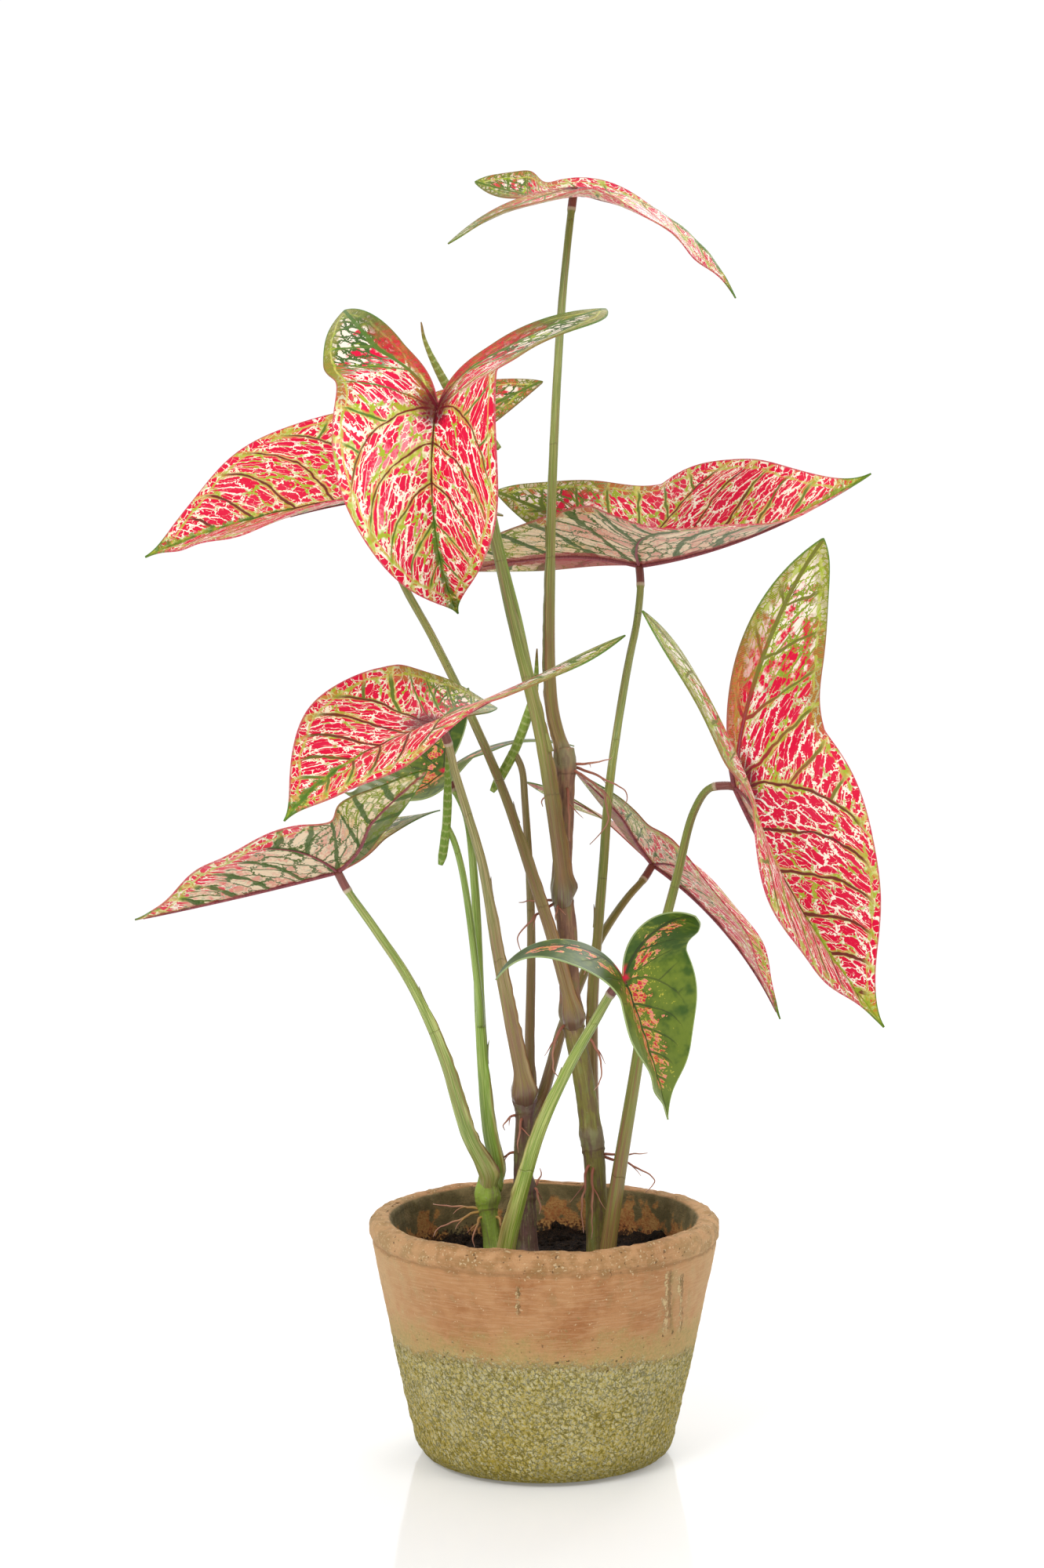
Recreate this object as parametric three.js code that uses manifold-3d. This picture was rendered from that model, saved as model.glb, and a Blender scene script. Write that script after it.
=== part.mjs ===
// A potted caladium: a weathered clay pot with soil, three ringed canes with aerial roots, ten arrow-shaped
// leaves on long stalks and three young leaves that are still rolled.
// Millimetres, +Z up. The origin is the middle of the pot's underside; -Y is the front.
import * as THREE from "three";
import { mergeVertices } from "three/addons/utils/BufferGeometryUtils.js";
import Module from "manifold-3d";

const wasm = await Module();
wasm.setup();
const { Manifold, Mesh } = wasm;

// ---------- driving dimensions ----------

const degree = Math.PI / 180;
const gap = 0.3; // clearance between pieces that touch on the real plant

const mergeDistance = 1e-3; // corners closer than this are one

const potHeight = 101;
const potSegments = 36;
// the wall of the pot: [radius, height], from the middle of the underside out, up, over the rim and in
const potWall = [
  [0, 0],
  [46, 0],
  [51.5, 1.8],
  [54.4, 6.5],
  [70.6, 80],
  [72.5, 90.3],
  [71.9, 91.6],
  [73.4, 93.4],
  [73.6, 98],
  [72.4, 100.3],
  [70.4, potHeight],
  [67, potHeight],
  [64.9, 100.1],
  [64.2, 98],
  [62, 80],
  [47, 12],
  [44, 9],
  [0, 9],
];

const [innerTop, innerBottom] = potWall.slice(14, 16); // the inner wall is straight between these

const soilLevel = 79.5;
const soilFloor = 9; // the top of the pot's floor
const soilRings = 5;
const soilSegments = 28;
const soilLump = 0.72; // height of the lumps
// how close the lumps follow each other, along x and y and at a slant
const soilWaves = { x: 0.55, y: 0.48, start: 1.3, slant: [0.27, 0.61], slantShare: 0.6 };
const soilEdgeDrop = 0.5; // the soil is lower where it meets the wall
const soilChamfer = 3.2; // round the floor
const soilHeap = { x: 24, y: 34, height: 6, spread: 22 }; // the soil is heaped at the back right

const bladeThickness = 0.7;
const bladeRows = { front: 11, lobe: 8, across: 4 };

// the flat outline of half a blade, for a blade of length 1 that points along +x from its stalk
const frontShare = 0.55; // part of the outline in front of the widest place
const sinus = 0.035; // the notch ends this far behind the stalk
const frontMargin = bezier([1, 0.004], [0.79, 0.03], [0.63, 0.41], [0.08, 0.444]);
const lobeMargin = bezier([0.08, 0.444], [-0.198, 0.461], [-0.65, 0.555], [-0.86, 0.423]);
const midrib = bezier([1, 0], [0.7, 0], [0.3, 0], [-sinus, 0]);
const lobeInner = bezier([-sinus, 0], [-0.11, 0.038], [-0.445, 0.08], [-0.856, 0.415]);
const halfWidth = 0.45;
const splayStart = 0.35;

// Every leaf: the place of its stalk's end, the way the blade points (heading about Z, droop of the tip,
// bank about its own length), then how the blade is shaped. Pairs are [left half, right half]. Angles in degrees.
const leaves = {
  a: {
    hub: [12.5, 5, 531.5], heading: 9, droop: 0, bank: 0, length: 87, width: 1.05, bend: -64, sweep: 2,
    twist: 16,
    fold: [-10, -28], cup: [48, 30], lobe: [0.66, 0.91], splay: [18, 0], lift: [3, 37], roll: [-23, -14],
    wave: 1.2,
  },
  b: {
    hub: [-42.5, -62, 433], heading: -108, droop: 63, bank: 3, length: 92, width: 1, bend: -88,
    sweep: -2, twist: -33,
    fold: [34, 36], cup: [4, -38], lobe: [0.94, 0.92], splay: [18, 16], lift: [-3, 36], roll: [-99, -13],
    wave: 0.8,
  },
  c: {
    hub: [-71.5, 10, 403.5], heading: 173, droop: 6, bank: -33, length: 107, width: 1.02, bend: -20,
    sweep: -2,
    twist: -16, fold: [25, 29], cup: [7, -13], lobe: [0.9, 0.86], splay: [20, 7], lift: [0, -2],
    roll: [-22, -5],
    wave: 1.2,
  },
  d: {
    hub: [41.5, 40, 376], heading: -27, droop: -6, bank: 23, length: 107, width: 1.03, bend: 21,
    sweep: 11, twist: 45,
    fold: [30, 43], cup: [-8, 12], lobe: [0.92, 0.63], splay: [1, -12], lift: [-11, 24], roll: [7, 1],
    wave: 1.6,
  },
  e: {
    hub: [79.5, -10, 282], heading: 14, droop: 65, bank: 26, length: 123, width: 1.05, bend: 14,
    sweep: 4, twist: 35,
    fold: [34, 27], cup: [12, -29], lobe: [1.05, 0.96], splay: [2, 14], lift: [-36, 26], roll: [18, 14],
    wave: 1.2,
  },
  f: {
    hub: [49, 62, 244], heading: -5, droop: 35, bank: -5, length: 90, width: 1.01, bend: -31, sweep: 1,
    twist: 14,
    fold: [24, 21], cup: [-22, -7], lobe: [0.96, 0.78], splay: [7, 13], lift: [-4, 4], roll: [-22, -1],
    wave: 1.2,
  },
  g: {
    hub: [-41.5, -56, 309], heading: -148, droop: 12, bank: 18, length: 90, width: 0.96, bend: -30, sweep: 10,
    twist: -48, fold: [8, 21], cup: [-25, 78], lobe: [0.97, 0.5], splay: [20, -8], lift: [-8, 10],
    roll: [21, -75], wave: 0.8,
  },
  h: {
    hub: [31, -60, 207.5], heading: 12, droop: 69, bank: 34, length: 63, width: 1.08, bend: -13,
    sweep: 8, twist: 0,
    fold: [27, 15], cup: [34, -1], lobe: [0.79, 1.08], splay: [1, 2], lift: [-76, 125], roll: [45, -29],
    wave: 1.0,
  },
  i: {
    hub: [-85.5, -20, 247.5], heading: 180, droop: 15, bank: 8, length: 86, width: 1.02, bend: 3,
    sweep: 0, twist: 11,
    fold: [28, 33], cup: [-3, -15], lobe: [0.89, 0.91], splay: [19, 25], lift: [-5, -3], roll: [-1, -7],
    wave: 1.6,
  },
  j: {
    hub: [-43, 34, 286], heading: -140, droop: 35, bank: 0, length: 62, width: 1.01, bend: 58, sweep: 7,
    twist: -29,
    fold: [20, 23], cup: [-1, 0], lobe: [1, 0.9], splay: [7, 0], lift: [34, 0], roll: [-39, 1],
    wave: 0.8,
  },
};
const waveCount = 4; // waves along each margin

// Every stalk: its path from the base up, its radius at both ends, the pieces it grows from,
// and its sheath, which ends in a free tip at this share of the path, on the side of this azimuth.
const stalkSides = 8;
const stalkRings = 12;
const jointLength = 9; // the short joint under a blade
const jointExtra = 0.2; // by which it is thicker
const stalkTaper = 0.7; // below 1, so that a stalk narrows fastest near its foot
const sheathSides = 6;
const sheathRings = 8;
const sheathTipRadius = 0.25;
const sheathTipShare = 0.08; // of the stalk's length, over which the sheath narrows to its tip
const sheathOffset = 0.8; // of the stalk's radius
const stalks = {
  a: {
    path: [[9, 1, 293], [3.5, 0, 315.5], [2.5, -1, 373.5], [3, -1, 400.5], [7, 3, 479], [11, 5, 520],
      [12.5, 5, 531.5]],
    radius: [2.6, 1.5], from: ["cane_right"], sheath: { tip: 0.42, azimuth: 190 },
  },
  b: {
    path: [[7.5, -6, 239.5], [2, -11, 280.5], [-2.5, -14, 306], [-13.5, -20, 351.5], [-21.5, -30, 386],
      [-30, -42, 410.5], [-42.5, -62, 433]],
    radius: [3, 1.6], from: ["cane_right"],
  },
  rolled_1: {
    path: [[2, -12, 296.5], [-3.5, -13, 316], [-11, -17, 351.5], [-17.5, -22, 377], [-23.5, -20, 406],
      [-26.5, -14, 430.5]],
    radius: [1.9, 1.4], from: ["cane_right", "stalk_b"],
  },
  c: {
    path: [[11.5, -6, 187.5], [3.5, -10, 217.5], [-3.5, -10, 239.5], [-16.5, -2, 278], [-30.5, 13, 310],
      [-47.5, 18, 344.5], [-61, 14, 370], [-71.5, 10, 403.5]],
    radius: [2.6, 1.5], from: ["cane_right"], sheath: { tip: 0.4, azimuth: 10 },
  },
  d: {
    path: [[21, 4, 134.5], [20.5, 6, 166], [21, 7, 194], [25, 9, 246], [27.5, 11, 279], [30.5, 15, 301],
      [36, 25, 332], [40.5, 35, 352.5], [42, 38, 367.5], [41.5, 40, 376]],
    radius: [2.7, 1.5], from: ["cane_right"], sheath: { tip: 0.4, azimuth: 180 },
  },
  e: {
    path: [[25.5, -9.8, 58], [26, -9.8, 80], [31, -9, 117.5], [37.5, -6, 156.5], [44.5, -4, 199],
      [55.5, -4, 243.5], [62.5, -6, 271.5], [68.5, -8, 281], [75.5, -10, 282.5], [79.5, -10, 282]],
    radius: [4, 1.5], from: [],
  },
  f: {
    path: [[-5, 7, 142], [-1, 10, 148.5], [8, 20, 177], [17.5, 28, 199.5], [25.5, 36, 215], [37, 50, 230],
      [44.5, 58, 237.5], [49, 62, 244]],
    radius: [3, 1.5], from: ["cane_middle"],
  },
  g: {
    path: [[-9, 0, 155], [-14, -6, 182], [-20, -14, 215.5], [-25.5, -26, 250.5], [-32, -38, 274.5],
      [-36.5, -47, 291], [-38.5, -52, 300.5], [-41.5, -56, 309]],
    radius: [3.1, 1.5], from: ["cane_middle"], sheath: { tip: 0.57, azimuth: 20 },
  },
  h: {
    path: [[-16, -28, 58], [-15.5, -28, 90], [-11, -30, 111], [-2, -36, 143], [10, -44, 171], [19, -50, 188],
      [27, -57, 203], [31, -60, 207.5]],
    radius: [4.2, 1.7], from: [], sheath: { tip: 0.7, azimuth: 170 },
  },
  i: {
    path: [[-23.5, -7, 118], [-32, -9, 136], [-42, -12, 169.5], [-55, -15, 199.5], [-69.5, -18, 222.5],
      [-81.5, -20, 240], [-85.5, -20, 247.5]],
    radius: [3.5, 1.5], from: ["cane_left"], sheath: { tip: 0.6, azimuth: 10 },
  },
  j: {
    path: [[-20.2, -0.3, 117], [-23.7, 2.4, 138.5], [-27, 6, 182.5], [-29.5, 16, 238], [-33.5, 29, 268],
      [-38.5, 33, 278.5], [-43, 34, 286]],
    radius: [3.3, 1.4], from: ["cane_left"], sheath: { tip: 0.33, azimuth: 0 },
  },
  rolled_2: {
    path: [[-26.8, 4.5, 180], [-27, 1, 188], [-28, -3, 199], [-31.5, -10, 230], [-34.5, -15, 249],
      [-37.5, -17, 260],
      [-40, -18, 265.5]],
    radius: [1.8, 1.3], from: ["stalk_j"],
  },
  rolled_3: {
    path: [[-6.5, 7, 154], [-6, 9, 176.5], [-5.5, 11, 226.5], [-8, 9, 273.5], [-9.5, 8, 289],
      [-13, 8, 296.5]],
    radius: [2.4, 1.4], from: ["cane_middle"],
  },
};

// the rolled leaves: path from the pointed tip to the blunt lower end, and the radius of the roll
const rollTipRadius = 0.3;
const rollWidest = 0.45; // share of the length at which a roll reaches its full radius
const rollBlunt = 0.12; // share of the length over which its lower end is rounded
const rollEnd = 1.04; // where that rounding would close, just past the end
const rolledLeaves = {
  rolled_1: { path: [[-50.5, -20, 472.5], [-49, -19, 465], [-39, -17, 445], [-28.5, -15, 432],
    [-18.5, -14, 421.5]],
    radius: 1.9 },
  rolled_2: { path: [[-40.5, -17, 299.5], [-40, -18, 283.5], [-40.5, -18, 267.5], [-42, -18, 254.5],
    [-43, -18, 250]],
    radius: 1.8 },
  rolled_3: { path: [[-3, 6, 339.5], [-4, 7, 322], [-12.5, 8, 296.5], [-18.5, 8, 285], [-22, 8, 279]],
    radius: 2 },
};

// Every cane: its path, its radius below and above, the heights of its nodes with how far each bulges,
// and its roots: [height, azimuth, reach, rise, hook], where the hook bows the root outwards.
const caneSides = 10;
const caneRingSpacing = 22;
const caneEndShare = 0.02; // no extra rings this close to an end
const nodeSpread = 5;
const canes = {
  cane_right: {
    path: [[23.5, 0, 58], [22.5, 0, 83], [21.5, 0, 119.5], [20, -1, 134], [16.5, -2, 158.5],
      [11.5, -2, 186.5],
      [9.5, -2, 222.5], [7.5, -2, 239], [8.5, 0, 270], [9, 0, 290.5], [8.5, 1, 297.5]],
    radius: [4.7, 3.9],
    nodes: [[134, 0.9], [186.5, 1], [239, 0.9], [293, 0.9]],
    roots: [[291, -15, 16, 3, -2], [290, 10, 21, -17, 3], [289, -30, 8, -31, 16], [281, -80, 4, -22, 1],
      [281, 200, 6, -8, 1], [234, 175, 15, -1, -2], [233, 200, 15, -20, 3], [232, 240, 3, -6, 0],
      [210, -40, 4, -7, 2], [182, 215, 3, -24, 7], [178, -20, 5, -24, 6], [126, -10, 19, 1, -3],
      [125, 5, 18, -16, 8], [122, -125, 5, -28, 2], [121, -100, 3, -30, 2]],
  },
  cane_middle: {
    path: [[-7, 4, 58], [-7, 4, 82], [-7.5, 4, 100.5], [-9, 4, 122.5], [-8, 4, 141.5], [-8.5, 4, 148.5],
      [-8.5, 4, 159]],
    radius: [4.4, 3.8],
    nodes: [[82, 0.8], [112, 0.5], [149, 1.6]],
    roots: [[142, 190, 5, -6, 2], [141, 250, 4, -14, 1], [126, 180, 7, -6, 1], [112, 0, 3, 7, 1],
      [111, -20, 3, -11, 1], [107, 215, 3, -12, 1]],
  },
  cane_left: {
    path: [[-20, -5, 58], [-21, -6, 84.5], [-23.5, -6, 103], [-24, -6, 109.5], [-23.5, -6, 120]],
    radius: [4, 3.6],
    nodes: [[84, 0.8], [109.5, 1.8]],
    roots: [[104, 170, 20, 1, -4], [103, 190, 20, -10, -3], [101, 215, 4, -12, 1], [101, -30, 4, -12, 1]],
  },
};
const rootSides = 4;
const rootRings = 6;
const rootRadius = 0.75;
const rootTaper = 0.6; // share of its radius that a root loses towards its end
const rootStart = 1.5; // how deep in the cane's skin a root begins, and how far it runs straight out of it
// the points of a root after that: [share of the reach, share of the hook, share of the rise]
const rootStops = [[0.5, 0.6, 0.3], [1, 0.5, 0.7], [1, 0, 1]];

const finishes = {
  clay: { color: 0xb9794c, roughness: 0.9 },
  earth: { color: 0x1a1512, roughness: 1 },
  blade: { color: 0xc8324a, roughness: 0.45 },
  greenBlade: { color: 0x4c7a1e, roughness: 0.45 },
  stalk: { color: 0x8fa945, roughness: 0.5 },
  cane: { color: 0x7c6a4a, roughness: 0.6 },
};

// ---------- helpers ----------

function bezier(...points) {
  return new THREE.CubicBezierCurve(...points.map(([x, y]) => new THREE.Vector2(x, y)));
}

function solidFrom(positions, triangles) {
  const mesh = new Mesh({
    numProp: 3,
    vertProperties: new Float32Array(positions),
    triVerts: new Uint32Array(triangles),
  });
  mesh.merge();
  return new Manifold(mesh);
}

function geometryFrom(solid) {
  const mesh = solid.getMesh();
  const geometry = new THREE.BufferGeometry();
  geometry.setAttribute("position", new THREE.BufferAttribute(mesh.vertProperties, 3));
  geometry.setIndex(new THREE.BufferAttribute(mesh.triVerts, 1));
  return geometry;
}

function largestBody(solid) {
  return solid.decompose().reduce((best, body) => (body.volume() > best.volume() ? body : best));
}

function namedMesh(name, geometry, finish) {
  const mesh = new THREE.Mesh(geometry, new THREE.MeshStandardMaterial({ metalness: 0, ...finish }));
  mesh.name = name;
  return mesh;
}

function smoothCurve(path) {
  return new THREE.CatmullRomCurve3(path.map((point) => new THREE.Vector3(...point)), false, "centripetal");
}

// A closed tube along a smooth path; radiusAt and shiftAt are given the share of the length and the point.
function tube(path, sides, stations, radiusAt, shiftAt = () => new THREE.Vector3()) {
  const curve = smoothCurve(path);
  const positions = [];
  const triangles = [];
  let side = new THREE.Vector3(1, 0, 0);
  for (const share of stations) {
    const point = curve.getPointAt(share);
    const forward = curve.getTangentAt(share);
    side.addScaledVector(forward, -side.dot(forward)).normalize();
    const other = new THREE.Vector3().crossVectors(forward, side);
    const radius = radiusAt(share, point, curve);
    const centre = point.clone().add(shiftAt(share, forward));
    for (let i = 0; i < sides; i += 1) {
      const angle = (2 * Math.PI * i) / sides;
      const rim = centre.clone().addScaledVector(side, radius * Math.cos(angle));
      rim.addScaledVector(other, radius * Math.sin(angle));
      positions.push(...rim.toArray());
    }
  }
  const lastRing = stations.length - 1;
  for (let ring = 0; ring < lastRing; ring += 1) {
    for (let i = 0; i < sides; i += 1) {
      const a = ring * sides + i;
      const b = ring * sides + ((i + 1) % sides);
      triangles.push(a, b, b + sides, a, b + sides, a + sides);
    }
  }
  for (let i = 1; i < sides - 1; i += 1) {
    triangles.push(0, i + 1, i);
    triangles.push(lastRing * sides, lastRing * sides + i, lastRing * sides + i + 1);
  }
  return solidFrom(positions, triangles);
}

function evenStations(count, from = 0, to = 1) {
  return Array.from({ length: count + 1 }, (_, i) => from + ((to - from) * i) / count);
}

// ---------- blades ----------

const straightEnough = 1e-4; // an arc that turns less than this is a line

// A line that is bent into an arc: how far it reaches and rises after a length, when it turns by turn * length.
function arc(turn, length) {
  const angle = turn * length;
  if (Math.abs(angle) < straightEnough) {
    return { reach: length, rise: (length * angle) / 2, angle };
  }
  const radius = length / angle;
  return { reach: radius * Math.sin(angle), rise: radius * (1 - Math.cos(angle)), angle };
}

// A point of the blade's middle surface. along runs from the tip (0) past the widest place to the end of the
// lobe (1), across from the midrib or the lobe's inner edge (0) to the margin (1), side is 1 left or -1 right.
function bladePoint(leaf, along, across, side) {
  const half = side > 0 ? 0 : 1;
  const inFront = along <= frontShare;
  const share = inFront ? along / frontShare : (along - frontShare) / (1 - frontShare);
  const edge = (inFront ? frontMargin : lobeMargin).getPoint(share);
  const start = (inFront ? midrib : lobeInner).getPoint(share);
  let x = start.x + (edge.x - start.x) * across;
  let y = (start.y + (edge.y - start.y) * across) * leaf.width;
  if (x < 0) {
    x *= leaf.lobe[half];
    const splay = leaf.splay[half] * degree * THREE.MathUtils.smoothstep(-x, 0, splayStart);
    const flatX = x;
    x = flatX * Math.cos(splay) + y * Math.sin(splay);
    y = y * Math.cos(splay) - flatX * Math.sin(splay);
  }
  // the cross-section: folded up at the midrib, then cupped
  const fold = leaf.fold[half] * degree;
  const section = arc(leaf.cup[half] * degree, y / halfWidth);
  const out = section.reach * halfWidth;
  const wave = (leaf.wave / leaf.length) * across ** 3 * Math.sin(2 * Math.PI * waveCount * along + side);
  const up = section.rise * halfWidth + wave * Math.sin(Math.PI * along);
  const foldedLevel = out * Math.cos(fold) - up * Math.sin(fold);
  const foldedHeight = out * Math.sin(fold) + up * Math.cos(fold);
  // the length: the front twists and bends, the lobe rolls and lifts
  const roll = (x >= 0 ? leaf.twist * side * x : -leaf.roll[half] * x) * degree;
  const level = foldedLevel * Math.cos(roll) - foldedHeight * Math.sin(roll);
  const height = foldedLevel * Math.sin(roll) + foldedHeight * Math.cos(roll);
  const spine = arc((x >= 0 ? leaf.bend : -leaf.lift[half]) * degree, x);
  const point = new THREE.Vector3(
    spine.reach - Math.sin(spine.angle) * height,
    level * side + leaf.sweep * degree * Math.max(x, 0) ** 2,
    spine.rise + Math.cos(spine.angle) * height,
  );
  return point.multiplyScalar(leaf.length);
}

// The middle surface of a blade as points and triangles: one sheet across both halves in front,
// then a sheet for each lobe, sharing their first row with it.
function bladeSheet(leaf) {
  const points = [];
  const triangles = [];
  const { front, lobe, across } = bladeRows;
  const addRow = (along, from, to) => {
    const row = [];
    for (let j = from; j <= to; j += 1) {
      row.push(points.length);
      points.push(bladePoint(leaf, along, Math.abs(j) / across, j < 0 ? -1 : 1));
    }
    return row;
  };
  const join = (row, next) => {
    for (let j = 0; j < row.length - 1; j += 1) {
      triangles.push([row[j], row[j + 1], next[j + 1]], [row[j], next[j + 1], next[j]]);
    }
  };
  let row = addRow(0, -across, across);
  for (let i = 1; i <= front; i += 1) {
    const next = addRow((frontShare * i) / front, -across, across);
    join(row, next);
    row = next;
  }
  const widest = row;
  for (const side of [-1, 1]) {
    row = side < 0 ? widest.slice(0, across + 1) : widest.slice(across);
    for (let i = 1; i <= lobe; i += 1) {
      const along = frontShare + ((1 - frontShare) * i) / lobe;
      const next = side < 0 ? addRow(along, -across, -1) : addRow(along, 1, across);
      const inner = points.length;
      points.push(bladePoint(leaf, along, 0, side));
      if (side < 0) {
        next.push(inner);
      } else {
        next.unshift(inner);
      }
      join(row, next);
      row = next;
    }
  }
  return { points, triangles };
}

// Gives a sheet its thickness: both faces, moved out along the sheet's normals, and a wall along its edges.
function thicken({ points, triangles }, half) {
  const normals = points.map(() => new THREE.Vector3());
  const edges = new Map();
  for (const [a, b, c] of triangles) {
    const normal = points[b].clone().sub(points[a]).cross(points[c].clone().sub(points[a]));
    for (const corner of [a, b, c]) {
      normals[corner].add(normal);
    }
    for (const [from, to] of [[a, b], [b, c], [c, a]]) {
      edges.set(`${from},${to}`, [from, to]);
    }
  }
  const count = points.length;
  const upper = points.map((point, i) => point.clone().addScaledVector(normals[i].normalize(), half));
  const lower = points.map((point, i) => point.clone().addScaledVector(normals[i], -half));
  const faces = [];
  for (const [a, b, c] of triangles) {
    faces.push(a, b, c, count + a, count + c, count + b);
  }
  for (const [from, to] of edges.values()) {
    if (!edges.has(`${to},${from}`)) {
      faces.push(to, from, count + from, to, count + from, count + to);
    }
  }
  return solidFrom([...upper, ...lower].flatMap((point) => point.toArray()), faces);
}

function bladeSolid(leaf, half = bladeThickness / 2) {
  const solid = thicken(bladeSheet(leaf), half);
  return solid.volume() > 0 ? solid : thicken(flipped(bladeSheet(leaf)), half);
}

function flipped({ points, triangles }) {
  return { points, triangles: triangles.map(([a, b, c]) => [a, c, b]) };
}

function bladePose(leaf) {
  const turn = new THREE.Euler(leaf.bank * degree, leaf.droop * degree, leaf.heading * degree, "ZYX");
  return { turn, place: new THREE.Vector3(...leaf.hub) };
}

function placed(solid, { turn, place }) {
  const matrix = new THREE.Matrix4().makeRotationFromEuler(turn).setPosition(place);
  return solid.transform(matrix.toArray());
}

// ---------- stalks, rolled leaves and canes ----------

function stalkSolid({ path, radius, sheath }, grow = 0) {
  const [base, top] = radius;
  const widthAt = (share) => base + (top - base) * share ** stalkTaper;
  const radiusAt = (share, point, curve) => {
    const left = (1 - share) * curve.getLength();
    const joint = left < jointLength ? jointExtra : 0;
    return widthAt(share) + joint + grow;
  };
  const stalk = tube(path, stalkSides, evenStations(stalkRings), radiusAt);
  if (!sheath) {
    return stalk;
  }
  const azimuth = sheath.azimuth * degree;
  const direction = new THREE.Vector3(Math.cos(azimuth), Math.sin(azimuth), 0);
  const wing = tube(
    path,
    sheathSides,
    evenStations(sheathRings, 0, sheath.tip),
    (share) => {
      const full = Math.min(1, (sheath.tip - share) / sheathTipShare);
      return sheathTipRadius + (widthAt(share) - sheathTipRadius) * full + grow;
    },
    (share, forward) => {
      const out = direction.clone().addScaledVector(forward, -direction.dot(forward)).normalize();
      return out.multiplyScalar(widthAt(share) * sheathOffset);
    },
  );
  return stalk.add(wing);
}

function rolledSolid({ path, radius }) {
  const radiusAt = (share) => {
    const rounding = Math.sqrt(Math.min(1, (rollEnd - share) / rollBlunt));
    return rollTipRadius + (radius - rollTipRadius) * Math.min(1, share / rollWidest) * rounding;
  };
  return tube(path, stalkSides, evenStations(stalkRings), radiusAt);
}

function caneSolid({ path, radius, nodes }, grow = 0) {
  const [below, above] = radius;
  const bottom = path[0][2];
  const height = path[path.length - 1][2] - bottom;
  const radiusAt = (share, point) => {
    const bulges = nodes.map(([z, extra]) => extra * Math.exp(-(((point.z - z) / nodeSpread) ** 2)));
    const bulge = bulges.reduce((sum, one) => sum + one, 0);
    return below + (above - below) * share + bulge + grow;
  };
  const levels = nodes.flatMap(([z]) => [z - nodeSpread, z, z + nodeSpread]);
  const around = levels.map((level) => (level - bottom) / height);
  const inside = around.filter((share) => share > caneEndShare && share < 1 - caneEndShare);
  const even = evenStations(Math.ceil(height / caneRingSpacing));
  const stations = [...new Set([...even, ...inside])].sort((a, b) => a - b);
  return tube(path, caneSides, stations, radiusAt);
}

function rootSolid(cane, [height, azimuth, reach, rise, hook]) {
  const curve = smoothCurve(cane.path);
  const bottom = cane.path[0][2];
  const top = cane.path[cane.path.length - 1][2];
  const start = curve.getPointAt((height - bottom) / (top - bottom));
  const at = (out, up) => [
    start.x + Math.cos(azimuth * degree) * out,
    start.y + Math.sin(azimuth * degree) * out,
    start.z + up,
  ];
  const skin = cane.radius[1];
  const rest = rootStops.map(([far, bow, high]) => at(skin + reach * far + hook * bow, rise * high));
  const path = [at(skin - rootStart, 0), at(skin + rootStart, 0), ...rest];
  return tube(path, rootSides, evenStations(rootRings), (share) => rootRadius * (1 - rootTaper * share));
}

// ---------- pot and soil ----------

function potSolid() {
  const profile = potWall.map(([radius, height]) => new THREE.Vector2(radius, height));
  const turned = new THREE.LatheGeometry(profile, potSegments);
  turned.rotateX(Math.PI / 2);
  turned.deleteAttribute("uv");
  turned.deleteAttribute("normal");
  const geometry = mergeVertices(turned, mergeDistance);
  return solidFrom(geometry.attributes.position.array, dropFlat(geometry.index.array));
}

// Leaves out the triangles that have shrunk to a line on the axis.
function dropFlat(triangles) {
  const kept = [];
  for (let i = 0; i < triangles.length; i += 3) {
    const [a, b, c] = triangles.slice(i, i + 3);
    if (a !== b && b !== c && c !== a) {
      kept.push(a, b, c);
    }
  }
  return kept;
}

function innerRadius(height) {
  const share = (height - innerBottom[1]) / (innerTop[1] - innerBottom[1]);
  return innerBottom[0] + (innerTop[0] - innerBottom[0]) * share;
}

function soilHeight(x, y) {
  const { height, spread } = soilHeap;
  const heap = height * Math.exp(-((x - soilHeap.x) ** 2 + (y - soilHeap.y) ** 2) / spread ** 2);
  const straight = Math.sin(x * soilWaves.x + soilWaves.start) * Math.cos(y * soilWaves.y);
  const slanted = Math.sin(x * soilWaves.slant[0] - y * soilWaves.slant[1]);
  return soilLevel + heap + soilLump * (straight + soilWaves.slantShare * slanted);
}

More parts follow.
